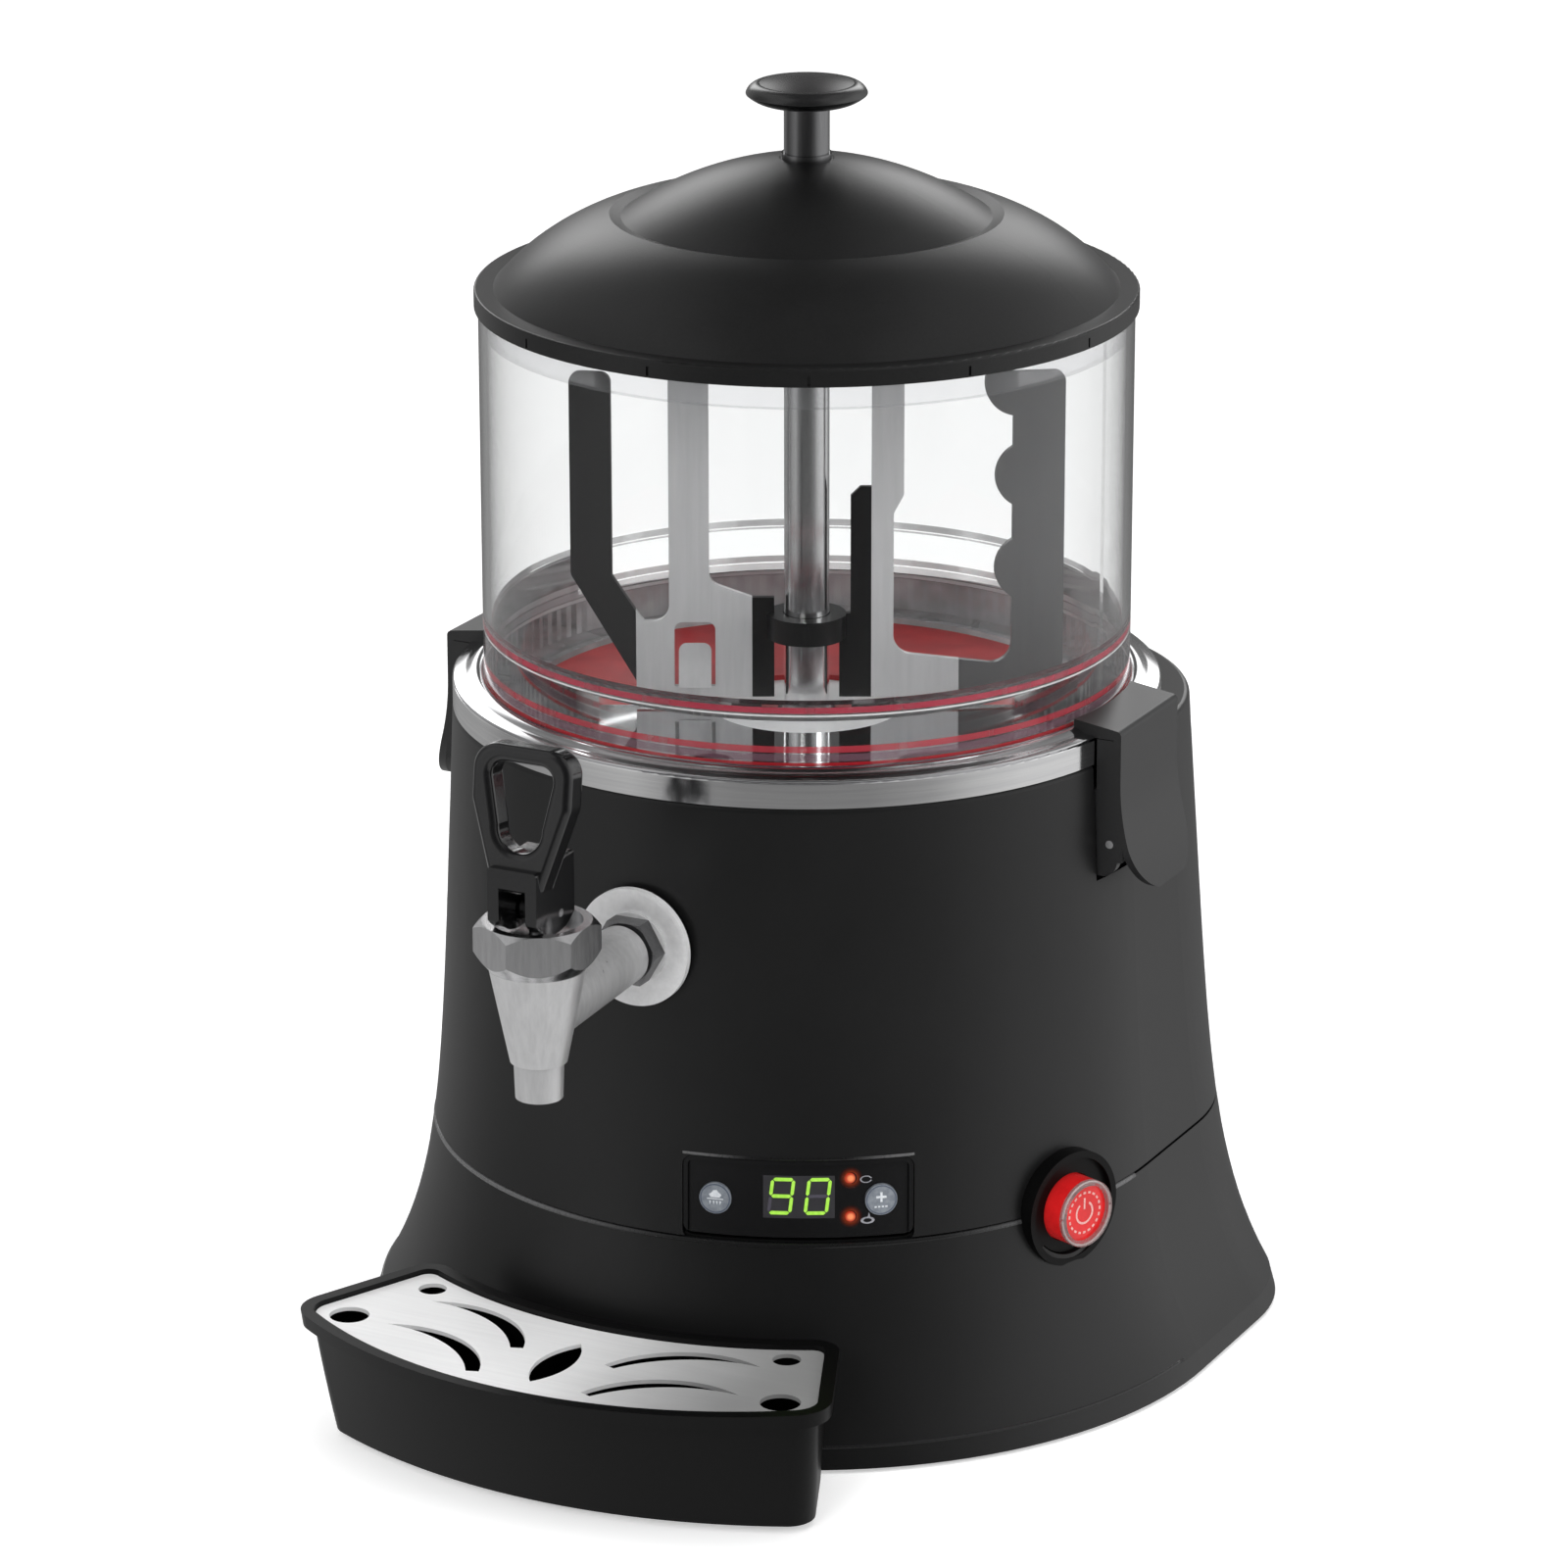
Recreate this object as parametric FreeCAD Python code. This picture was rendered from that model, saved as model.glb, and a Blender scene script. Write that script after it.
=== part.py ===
import FreeCAD, Part
import math
import os
from functools import lru_cache
from FreeCAD import Vector

# Hot chocolate dispenser. Millimetres, +Z up, the front faces -Y.
# The origin is on the table, on the axis of the round bowl.

# ---- driving dimensions ----
# A rise is a height above the deck and a drop a depth below it, unless its group says otherwise.

# housing
deck_height = 238.5
deck_radius = 130.0
rear_depth = 130.0
side_taper = 10.5
skirt_flare = 26.0
skirt_sharpness = 6
rear_corner_top = 97.0
rear_corner_shrink = 21.0
housing_wall = 3.0
deck_thickness = 3.0
deck_edge_round = 2.0
seam_height = 78.6
seam_gap = 1.0
seam_lip_depth = 9.0
seam_lip_rise = 5.0
seam_lip_thickness = 2.2
seam_lip_clearance = 0.2
ground_gap = 1.5
bevel_height = 7.0
bevel_inset = 2.2
overrun = 6.0
cut_margin = 1.0
tiny = 0.01
station_count = 10

# floor of the housing
floor_plate_height = 6.5
floor_plate_thickness = 1.5
floor_plate_clearance = 0.4
floor_boss_radius = 6.0
floor_boss_top = 26.0
floor_boss_angles = (-70, -20, 20, 70)
rear_boss_spacing = 110.0
foot_radius = 12.0
foot_recess_radius = 5.5
foot_recess_depth = 3.0
foot_spread_x = 85.0
foot_front_y = -88.0
foot_rear_y = 88.0
screw_radius = 2.0
screw_head_radius = 3.8
screw_head_height = 2.2
screw_length = 12.0

# rear face, with the vents measured from the seam
inlet_height = 44.0
inlet_width = 27.0
inlet_tall = 20.0
inlet_depth = 22.0
inlet_flange_width = 34.0
inlet_flange_tall = 27.0
inlet_flange_thickness = 2.5
inlet_corner = 3.0
inlet_socket_width = 24.0
inlet_socket_tall = 16.5
inlet_socket_depth = 16.0
inlet_clearance = 0.3
inlet_pin_width = 2.0
inlet_pin_tall = 4.0
inlet_pin_length = 12.0
inlet_pin_spread = 7.0
inlet_pin_drop = 2.0
vent_count = 9
vent_width = 3.0
vent_height = 34.0
vent_pitch = 8.0
vent_rise = 25.4

# bowl base, a pressed steel dish that carries the bowl and the water tank
rim_height = 9.5
rim_sheet = 1.2
rim_width = 7.6
dish_floor_drop = 4.5
dish_floor_thickness = 2.0
tank_gap = 13.0
tank_depth = 105.0
tank_sheet = 1.5
element_radius = 70.0
element_tube_radius = 4.0
element_lift = 12.0
element_lead_spread = 14.0
element_lead_length = 18.0
probe_radius = 3.0
probe_length = 42.0
probe_drop = 88.5
probe_azimuth = 140.0

# bowl and its seals
gasket_lip_thickness = 2.5
bowl_wall_thickness = 3.0
bowl_top_rise = 149.5
bowl_foot_thickness = 9.5
foot_shoulder_low_rise = 25.5
foot_shoulder_high_rise = 35.5
gasket_base = 4.0
gasket_overhang = 3.0
gasket_lip_clearance = 0.2
gasket_lip_rise = 11.6
floor_seal_inner_radius = 36.0
floor_seal_thickness = 2.0
floor_seal_gap = 0.5

# column, shaft and drive
column_radius = 8.25
column_wall = 1.8
column_rise = 131.5
shaft_radius = 5.0
bush_length = 12.0
running_clearance = 0.05
shaft_flat = 1.2
gearbox_width = 84.0
gearbox_depth = 76.0
gearbox_height = 30.0
gearbox_corner = 6.0
gearbox_drop = 9.0
gearbox_offset = 6.0
motor_radius = 29.0
motor_length = 56.0
motor_edge_round = 3.0
motor_offset = 10.0
bracket_width = 150.0
bracket_depth = 60.0
bracket_thickness = 3.0
standoff_radius = 4.0
standoff_spacing = 130.0
standoff_row = 40.0
shaft_engagement = 22.0

# outlet pipe from the dish to the tap
outlet_radius = 8.0
outlet_wall = 1.5
outlet_distance = 76.0
outlet_bend = 20.0

# mixer
mixer_azimuth = 26.65
mixer_thickness = 2.5
mixer_floor_clearance = 3.0
mixer_bar_rise = 135.5
mixer_bar_height = 10.0
hub_radius = 14.4
hub_rise = 23.5
hub_height = 9.0
hub_clearance = 0.35
wing_fold_angle = 8.0
left_fold = -62.5
right_fold = 55.7
left_outer_edge = -86.3
left_outer_inner_edge = -71.2
left_web_low_rise = 6.9
left_web_high_rise = 33.5
left_strip_knee_rise = 46.5
left_inner_strip_start = -50.4
left_inner_strip_end = -35.7
left_pocket_rise = 29.5
left_plate_rise = 44.3
hub_plate_rise = 38.5
hub_plate_left = -20.0
hub_plate_right = 23.6
hub_plate_gap = 11.9
tongue_start = -48.5
tongue_end = -33.5
tongue_window_rise = 29.1
tongue_rise = 20.0
tongue_hinge_lift = 4.0
tongue_window_corner = 3.0
tongue_angle = 20.0
tongue_clearance = 1.5
upright_rise = 80.5
upright_edge = 16.0
right_inner_strip_end = 35.4
right_pocket_rise = 17.5
right_pocket_corner = 7.5
right_outer_inner_edge = 75.0
right_outer_edge = 94.0
scallop_radius = 12.5
scallop_depth = 6.5
scallop_rise = 49.0
scallop_pitch = 35.0
scallop_count = 3
mixer_corner = 7.0
web_drop = 2.6
right_pocket_drop = 5.6
left_pocket_flat = 3.0
plate_corner = 5.5
wing_rise = 123.0
wing_corner = 4.0
wing_low_corner = 13.0
strip_step_low_rise = 70.5
strip_step_high_rise = 77.5
strip_step = 3.7
scallop_top_reach = 4.0
cap_radius = 13.0
cap_height = 26.0
cap_round = 3.2

# lid, measured from the bowl's top edge, and its knob, measured from the lid's top
lid_overhang = 1.5
lid_rim_height = 6.5
lid_flat_inset = 7.0
lid_crest_radius = 71.0
lid_crest_rise = 33.0
lid_crest_width = 4.2
lid_valley_rise = 31.9
lid_top_rise = 53.0
lid_top_radius = 10.0
lid_wall = 2.4
lid_lower_bulge = 3.6
lid_upper_bulge = 3.4
lid_notch_count = 13
lid_notch_offset = 27.0
lid_notch_width = 1.0
lid_notch_low = 0.5
lid_notch_high = 4.0
lid_notch_depth = 0.8
lid_ring_depth = 9.0
lid_ring_step = 1.0
lid_ring_thickness = 3.0
lid_ring_clearance = 0.6
knob_radius = 22.0
knob_top_rise = 29.0
knob_underside_rise = 20.0
knob_rim_rise = 23.5
knob_edge_round = 0.8
knob_shoulder_radius = 17.0
knob_shoulder_rise = 27.3
knob_shoulder_bulge = 0.8
knob_flare = 1.0
knob_flare_radius = 17.6
knob_flare_rise = 20.7
knob_stem_radius = 8.25
knob_collar_radius = 9.2
knob_collar_height = 2.0
knob_screw_radius = 2.5

# tap, measured from its axis
tap_drop = 54.0
spout_overhang = 76.0
spout_tip_drop = 32.2
spout_step_drop = 18.9
spout_tip_radius = 8.35
spout_step_radius = 8.8
cone_low_radius = 10.0
cone_top_radius = 17.0
cone_top_rise = 15.5
spout_bore_radius = 6.0
chamber_radius = 9.0
chamber_drop = 6.5
barrel_start_radius = 13.0
barrel_end_radius = 10.8
nut_corners = 26.0
nut_thickness = 7.0
nut_barrel_gap = 1.5
flange_radius = 21.7
flange_thickness = 2.6
flange_dish = 1.2
gasket_thickness = 2.0
gasket_radius = 20.0
shank_radius = 8.0
shank_bore_radius = 6.0
shank_inner_end = 112.0
lock_nut_thickness = 6.0
shank_hole_clearance = 0.4
bonnet_corners = 44.2
bonnet_chamfer = 6.0
bonnet_flat = 8.5
bonnet_crown = 2.5
bonnet_mouth_radius = 16.0
bonnet_floor_rise = 28.5
bonnet_plug_depth = 4.0
stem_radius = 3.0
stem_eye_radius = 4.4
pin_rise = 36.5
tap_pin_radius = 1.5
fork_width = 19.0
fork_slot = 10.4
fork_front = 17.5
fork_rear = 9.5
fork_front_low_rise = 36.5
fork_rear_low_rise = 34.5
fork_low_rise = 30.1
fork_low_shift = 2.4
fork_saddle_rise = 55.5
fork_heel_rise = 56.5
fork_heel_depth = 6.0
fork_top_rise = 48.5
seat_height = 6.0
seat_radius = 8.0
handle_thickness = 11.0
handle_setback = 3.0
handle_lean = 7.5
handle_width = 38.0
handle_top_rise = 97.5
handle_neck_width = 20.0
handle_shoulder_rise = 77.5
handle_corner = 9.0
eye_width = 26.0
eye_low_width = 17.0
eye_low_rise = 60.5
eye_high_rise = 91.5
eye_shoulder_rise = 69.5
eye_corner = 5.0
handle_edge_round = 2.5
fork_edge_round = 1.2

# side latches
latch_width = 50.0
latch_face_proud = 7.5
latch_plate = 3.0
latch_cheek = 3.5
latch_tip_rise = 15.9
latch_face_rise = 13.1
latch_flare = 10.0
latch_flare_start = 2.5
latch_foot_corner = 20.0
latch_cheek_drop = 35.9
latch_gap = 0.3
latch_tip_gap = 0.6
latch_rim_gap = 0.6
latch_drop = 47.5
latch_curve_drop = 6.5
latch_lobe_radius = 6.0
latch_lobe_proud = 0.6
latch_lobe_drop = 35.7
latch_cheek_inset = 5.0
latch_edge_round = 2.0
pivot_proud = 3.5
pivot_drop = 29.5
latch_pin_radius = 1.5
lug_radius = 3.4
lug_width = 36.0
pocket_clearance = 1.2
pocket_depth = 13.0
pocket_drop = 43.5
pocket_wall = 2.5

# control panel, measured from the seam
panel_azimuth = 25.35
panel_width = 82.0
panel_low_gap = 1.6
panel_top_rise = 30.0
panel_corner = 3.5
panel_fit = 0.3
panel_frame_inset = 0.5
panel_field_inset = 1.7
panel_back_inset = 4.4
panel_frame_width = 1.6
button_rise = 14.8
button_radius = 5.8
button_side = 29.8
button_proud = 0.7
button_length = 7.0
button_clearance = 0.25
display_width = 25.5
display_tall = 15.6
display_shift = 0.3
display_thickness = 1.2
display_rise = 16.5
digit_tall = 13.6
digit_wide = 8.2
digit_pitch = 12.9
digit_stroke = 1.6
digit_gap = 1.0
digit_end_gap = 0.3
digit_slant = 9.0
digit_thickness = 0.3
lamp_radius = 1.9
lamp_side = 18.7
lamp_spread = 14.1
lamp_rise = 16.2
lamp_proud = 0.5
board_depth = 17.7
board_width = 78.0
board_tall = 28.0
board_thickness = 1.6

# power switch, measured from the seam and out of the housing's surface
switch_azimuth = 69.0
switch_drop = 0.1
bezel_radius = 21.5
bezel_proud = 3.4
bezel_dish_radius = 19.0
bezel_dish_depth = 2.2
bezel_neck_radius = 17.0
bezel_neck_depth = 13.4
bezel_hole_clearance = 0.5
power_radius = 12.5
power_proud = 8.8
power_depth = 10.4
power_clearance = 0.4
lens_width = 2.0
lens_thickness = 1.6
switch_body_radius = 16.0
switch_body_length = 24.0
switch_body_gap = 4.0
switch_reach = 30.0

# power board
power_board_width = 70.0
power_board_depth = 46.0
power_board_height = 16.0
power_board_y = 84.0
board_post_radius = 3.0
transformer_size = 30.0
transformer_height = 24.0

# drip tray and grille, with distances in front of the deck's edge
tray_back_gap = 15.5
tray_back_low_gap = 0.35
tray_front_radius = 177.5
tray_front_centre_inset = 74.0
tray_front_flattening = 36.0
tray_back_half = 84.0
tray_back_distance = 11.0
tray_front_half = 108.5
tray_front_distance = 68.0
tray_lift = 3.0
tray_rim_height = 50.6
tray_front_taper = 15.0
tray_side_taper = 2.5
tray_front_corner = 14.0
tray_back_corner = 9.5
tray_wall = 3.0
tray_lip_overhang = 4.0
tray_lip_height = 5.5
tray_floor = 2.5
tray_rim_width = 4.8
tray_ledge_width = 2.6
tray_ledge_height = 3.0
grille_drop = 1.8
grille_thickness = 1.5
grille_gap = 0.4
tongue_bar_spread = 104.0
tongue_bar_width = 14.0
tongue_bar_low = 22.0
tongue_bar_height = 4.0
tongue_bar_depth = 26.0
tongue_bar_clearance = 0.5
small_hole_radius = 5.1
small_hole_x = 71.6
small_hole_distance = 28.4
large_hole_radius = 7.2
large_hole_x = 86.4
large_hole_distance = 62.6
eye_slot_half_length = 18.6
eye_slot_half_width = 6.4
eye_slot_distance = 67.0
crescent_inner_x = 18.5
crescent_outer_x = 66.5
crescent_inner_distance = 61.0
crescent_outer_distance = 38.5
crescent_mid_x = 34.5
crescent_mid_distance = 39.5
crescent_depth = 6.6
crescent_depth_shift = 2.2
crescent_blunt = 4.4
crescent_blunt_fall = 1.5
crescent_row_shift_x = 4.0
crescent_row_shift_y = -25.0

# ---- derived places ----

origin = Vector(0, 0, 0)
up = Vector(0, 0, 1)
gutter_radius = deck_radius - rim_width
gasket_lip_radius = gutter_radius - rim_sheet - gasket_lip_clearance
bowl_radius = gasket_lip_radius - gasket_lip_thickness
foot_inner_radius = bowl_radius - bowl_foot_thickness
gasket_inner_radius = foot_inner_radius - gasket_overhang
lid_radius = bowl_radius + lid_overhang
lid_flat_radius = lid_radius - lid_flat_inset
lid_valley_radius = lid_crest_radius - lid_crest_width
bowl_top = deck_height + bowl_top_rise
foot_shoulder_low = deck_height + foot_shoulder_low_rise
foot_shoulder_high = deck_height + foot_shoulder_high_rise
gasket_lip_top = deck_height + gasket_lip_rise
column_top = deck_height + column_rise
mixer_bar_low = deck_height + mixer_bar_rise
hub_low = deck_height + hub_rise
left_web_low = deck_height + left_web_low_rise
left_web_high = deck_height + left_web_high_rise
left_strip_knee = deck_height + left_strip_knee_rise
left_pocket_floor = deck_height + left_pocket_rise
left_plate_top = deck_height + left_plate_rise
hub_plate_top = deck_height + hub_plate_rise
tongue_window_top = deck_height + tongue_window_rise
tongue_top = deck_height + tongue_rise
upright_top = deck_height + upright_rise
right_pocket_floor = deck_height + right_pocket_rise
scallop_low = deck_height + scallop_rise
wing_top = deck_height + wing_rise
strip_step_low = deck_height + strip_step_low_rise
strip_step_high = deck_height + strip_step_high_rise
latch_tip_top = deck_height + latch_tip_rise
latch_face_top = deck_height + latch_face_rise
latch_curve_height = deck_height - latch_curve_drop
latch_cheek_low = deck_height - latch_cheek_drop
latch_bottom = deck_height - latch_drop
latch_lobe_height = deck_height - latch_lobe_drop
pivot_height = deck_height - pivot_drop
pocket_low = deck_height - pocket_drop
probe_height = deck_height - probe_drop
tap_height = deck_height - tap_drop
lid_crest_height = bowl_top + lid_crest_rise
lid_valley_height = bowl_top + lid_valley_rise
lid_top_height = bowl_top + lid_top_rise
knob_underside = lid_top_height + knob_underside_rise
knob_rim_height = lid_top_height + knob_rim_rise
knob_shoulder_height = lid_top_height + knob_shoulder_rise
knob_flare_height = lid_top_height + knob_flare_rise
knob_top = lid_top_height + knob_top_rise
spout_tip_height = tap_height - spout_tip_drop
spout_step_height = tap_height - spout_step_drop
cone_top_height = tap_height + cone_top_rise
chamber_low = tap_height - chamber_drop
bonnet_floor_height = tap_height + bonnet_floor_rise
pin_height = tap_height + pin_rise
fork_front_low = tap_height + fork_front_low_rise
fork_rear_low = tap_height + fork_rear_low_rise
fork_low = tap_height + fork_low_rise
fork_saddle_height = tap_height + fork_saddle_rise
fork_heel_height = tap_height + fork_heel_rise
fork_top = tap_height + fork_top_rise
handle_top = tap_height + handle_top_rise
handle_shoulder_height = tap_height + handle_shoulder_rise
eye_low = tap_height + eye_low_rise
eye_high = tap_height + eye_high_rise
eye_shoulder_height = tap_height + eye_shoulder_rise
panel_top = seam_height + panel_top_rise
button_height = seam_height + button_rise
display_height = seam_height + display_rise
lamp_height = seam_height + lamp_rise
switch_height = seam_height - switch_drop
vent_low = seam_height + vent_rise
latch_face = deck_radius + latch_face_proud
latch_lobe_x = deck_radius + latch_lobe_proud
latch_cheek_x = deck_radius - latch_cheek_inset
pivot_x = deck_radius + pivot_proud
pocket_floor = deck_radius - pocket_depth
spout_reach = deck_radius + spout_overhang
tank_radius = pocket_floor - tank_gap
tray_front_centre = -deck_radius + tray_front_centre_inset
tray_back_y = -deck_radius - tray_back_distance
tray_front_y = -deck_radius - tray_front_distance
small_hole_y = -deck_radius - small_hole_distance
large_hole_y = -deck_radius - large_hole_distance
eye_slot_y = -deck_radius - eye_slot_distance
crescent_inner_y = -deck_radius - crescent_inner_distance
crescent_outer_y = -deck_radius - crescent_outer_distance
crescent_mid_y = -deck_radius - crescent_mid_distance
rim_top = deck_height + rim_height
dish_floor_top = deck_height - dish_floor_drop
dish_floor_low = dish_floor_top - dish_floor_thickness
bowl_low = dish_floor_top + gasket_base
tank_low = dish_floor_low - tank_depth
column_bore = column_radius - column_wall
lid_low = bowl_top
lid_rim_top = bowl_top + lid_rim_height
mixer_low = dish_floor_top + floor_seal_thickness + mixer_floor_clearance
tongue_hinge = mixer_low + tongue_hinge_lift
gearbox_top = tank_low - gearbox_drop
gearbox_low = gearbox_top - gearbox_height
shaft_low = gearbox_top - shaft_engagement
cap_top = mixer_bar_low + cap_height
seam_low = seam_height - seam_gap / 2
seam_high = seam_height + seam_gap / 2
floor_plate_top = floor_plate_height + floor_plate_thickness
bonnet_flat_low = cone_top_height + bonnet_chamfer
bonnet_flat_high = bonnet_flat_low + bonnet_flat
bonnet_top = bonnet_flat_high + bonnet_crown
latch_half = latch_width / 2


# ---- shape helpers ----

def turned(shape, angle, centre=origin, axis=up):
    result = shape.copy()
    result.rotate(centre, axis, angle)
    return result


def mirrored(shape):
    return shape.mirror(origin, Vector(1, 0, 0))


def rod(radius, start, end):
    line = end - start
    return Part.makeCylinder(radius, line.Length, start, line)


def frustum(start_radius, end_radius, start, end):
    line = end - start
    return Part.makeCone(start_radius, end_radius, line.Length, start, line)


def pipe(outer, inner, start, end):
    return rod(outer, start, end).cut(rod(inner, start, end))


def block(low_x, high_x, low_y, high_y, low_z, high_z):
    corner = Vector(low_x, low_y, low_z)
    return Part.makeBox(high_x - low_x, high_y - low_y, high_z - low_z, corner)


def slab(low, high):
    reach = 4 * deck_radius
    return block(-reach, reach, -reach, reach, low, high)


def spun(points):
    corners = [Vector(radius, 0, height) for radius, height in points]
    face = Part.Face(Part.makePolygon(corners + corners[:1]))
    return face.revolve(origin, up, 360)


def ring(outer, inner, low, high):
    return spun([(inner, low), (outer, low), (outer, high), (inner, high)])


def hexagon(across_corners, start, end, first_corner=0):
    corners = []
    for step in range(7):
        angle = math.radians(60 * step + first_corner)
        corners.append(Vector(math.cos(angle), math.sin(angle), 0) * (across_corners / 2))
    line = end - start
    prism = Part.Face(Part.makePolygon(corners)).extrude(up * line.Length)
    prism.Placement = FreeCAD.Placement(start, FreeCAD.Rotation(up, line))
    return prism


def joined(shapes):
    result = shapes[0].multiFuse(shapes[1:])
    return result.removeSplitter()


def bow(start, middle, end):
    return Part.Arc(start, middle, end).toShape()


def straight(start, end):
    return Part.LineSegment(start, end).toShape()


def midpoint(start, end):
    return (start + end) / 2


def out_at(azimuth, distance, height):
    """Point at a distance from the bowl axis, with azimuth 0 at the front and 90 at +X."""
    angle = math.radians(azimuth)
    return Vector(distance * math.sin(angle), -distance * math.cos(angle), height)


def front_prism(width, low, high, corner, near, far, shift=0.0):
    """Block with rounded corners that looks along Y, for cuts through the curved front."""
    prism = block(shift - width / 2, shift + width / 2, -far, -near, low, high)
    edges = [edge for edge in prism.Edges if abs(edge.BoundBox.YLength) > (far - near) / 2]
    return prism.makeFillet(corner, edges)


def save(name, shape):
    shape.exportStep("parts/" + name + ".step")


# ---- housing ----

def half_width(height):
    fall = (deck_height - height) / deck_height
    return deck_radius + side_taper * fall + skirt_flare * fall ** skirt_sharpness


def rear_corner(height):
    fall = (deck_height - height) / deck_height
    return rear_corner_top - rear_corner_shrink * fall


def body_section(height, inset):
    """Half-round front, straight sides and a flat back with two rounded corners."""
    width = half_width(height) - inset
    back = rear_depth - inset
    corner = rear_corner(height) - inset
    diagonal = corner * (1 - math.sqrt(0.5))
    right = Vector(width, 0, height)
    left = Vector(-width, 0, height)
    right_turn = Vector(width, back - corner, height)
    left_turn = Vector(-width, back - corner, height)
    back_right = Vector(width - corner, back, height)
    back_left = Vector(corner - width, back, height)
    edges = [
        bow(left, Vector(0, -width, height), right),
        straight(right, right_turn),
        bow(right_turn, Vector(width - diagonal, back - diagonal, height), back_right),
        straight(back_right, back_left),
        bow(back_left, Vector(diagonal - width, back - diagonal, height), left_turn),
        straight(left_turn, left),
    ]
    return Part.Wire(edges)


@lru_cache(maxsize=None)
def body_form(inset):
    """The whole housing's outline as one solid, a little longer than the housing at both ends."""
    reach = deck_height + 2 * overrun
    heights = [reach * step / (station_count - 1) - overrun for step in range(station_count)]
    return Part.makeLoft([body_section(height, inset) for height in heights], True, False)


def body_slice(inset, low, high):
    return body_form(inset).common(slab(low, high))


def body_skin(outer_inset, inner_inset, low, high):
    return body_slice(outer_inset, low, high).cut(body_form(inner_inset))


def floor_boss_points():
    distance = half_width(floor_boss_top) - housing_wall - floor_boss_radius / 2
    points = [out_at(angle, distance, 0) for angle in floor_boss_angles]
    rear_y = rear_depth - housing_wall - screw_head_radius - floor_plate_clearance
    for side in (-1, 1):
        points.append(Vector(side * rear_boss_spacing / 2, rear_y, 0))
    return points


def switch_rod(radius, near, far):
    """Rod on the switch's axis, with both ends measured outwards from the housing's surface."""
    surface = half_width(switch_height)
    return rod(radius, out_at(switch_azimuth, surface + near, switch_height),
               out_at(switch_azimuth, surface + far, switch_height))


def panel_prism(margin, low_margin):
    low = seam_height + panel_low_gap - low_margin
    shape = front_prism(panel_width + 2 * margin, low, panel_top + margin, panel_corner + margin,
                        tank_radius, 2 * deck_radius)
    return turned(shape, panel_azimuth)


def tongue_bars(margin, near_y, far_y):
    bars = []
    for side in (-1, 1):
        centre = side * tongue_bar_spread / 2
        bars.append(block(centre - tongue_bar_width / 2 - margin, centre + tongue_bar_width / 2 + margin,
                          far_y, near_y, tongue_bar_low - margin,
                              tongue_bar_low + tongue_bar_height + margin))
    return bars


def inlet_prism(width, tall, corner, near_y, far_y):
    shape = front_prism(width, inlet_height - tall / 2, inlet_height + tall / 2, corner, -far_y, -near_y)
    return shape


def base_shell():
    bevel_top = ground_gap + bevel_height
    bevel = Part.makeLoft([body_section(ground_gap, bevel_inset), body_section(bevel_top, 0)], True, True)
    outer = joined([body_slice(0, bevel_top, seam_low), bevel])
    shell = outer.cut(body_form(housing_wall))
    lip_inset = housing_wall + seam_lip_clearance
    lip = body_skin(lip_inset, lip_inset + seam_lip_thickness, seam_low - seam_lip_depth,
            seam_high + seam_lip_rise)
    root = body_skin(housing_wall / 2, lip_inset + seam_lip_thickness,
                     seam_low - seam_lip_depth, seam_low - seam_lip_depth / 2)
    bosses = [rod(floor_boss_radius, point + up * floor_plate_top, point + up * floor_boss_top)
              for point in floor_boss_points()]
    inside = body_form(housing_wall / 2)
    shell = joined([shell, lip, root] + [boss.common(inside) for boss in bosses])
    screw_holes = [rod(screw_radius, point, point + up * (floor_plate_height + screw_length))
                   for point in floor_boss_points()]
    slots = tongue_bars(tongue_bar_clearance, -tank_radius, -tray_back_at(tongue_bar_low))
    inlet = inlet_prism(inlet_width + 2 * inlet_clearance, inlet_tall + 2 * inlet_clearance, inlet_corner,
                        rear_depth - 2 * inlet_depth, rear_depth + overrun)
    switch = switch_rod(bezel_neck_radius + bezel_hole_clearance, -switch_reach, switch_reach)
    return shell.cut(screw_holes + slots + [inlet, switch, panel_prism(panel_fit, panel_low_gap)])


def vent_slots():
    slots = []
    for number in range(vent_count):
        centre = (number - (vent_count - 1) / 2) * vent_pitch
        slots.append(block(centre - vent_width / 2, centre + vent_width / 2, rear_depth - 2 * housing_wall,
                           rear_depth + overrun, vent_low, vent_low + vent_height))
    return slots


def latch_pocket(grow, low, high, outer_x):
    half = latch_half + pocket_clearance + grow
    return block(pocket_floor - grow, outer_x, -half, half, low - grow, high)


def upper_shell():
    outer = body_slice(0, seam_high, deck_height)
    top_edges = [edge for edge in outer.Edges if edge.BoundBox.ZMin > deck_height - tiny]
    outer = outer.makeFillet(deck_edge_round, top_edges)
    cavity = body_slice(housing_wall, seam_high - overrun, deck_height - deck_thickness)
    shell = outer.cut([cavity, rod(gutter_radius + latch_gap, up * seam_height,
            up * (deck_height + overrun))])
    pocket_top = dish_floor_low - pocket_wall / 2
    walls = latch_pocket(pocket_wall, pocket_low, pocket_top, 2 * deck_radius)
    walls = [walls.common(body_form(housing_wall / 2)), mirrored(walls).common(body_form(housing_wall / 2))]
    shell = joined([shell] + walls)
    opening = latch_pocket(0, pocket_low, deck_height + overrun, 2 * deck_radius)
    tap_hole = rod(shank_radius + shank_hole_clearance, Vector(0, -tank_radius, tap_height),
                   Vector(0, -2 * deck_radius, tap_height))
    switch = switch_rod(bezel_neck_radius + bezel_hole_clearance, -switch_reach, switch_reach)
    window = panel_prism(panel_fit, panel_low_gap + seam_gap)
    return shell.cut([opening, mirrored(opening), tap_hole, switch, window] + vent_slots())


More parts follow.
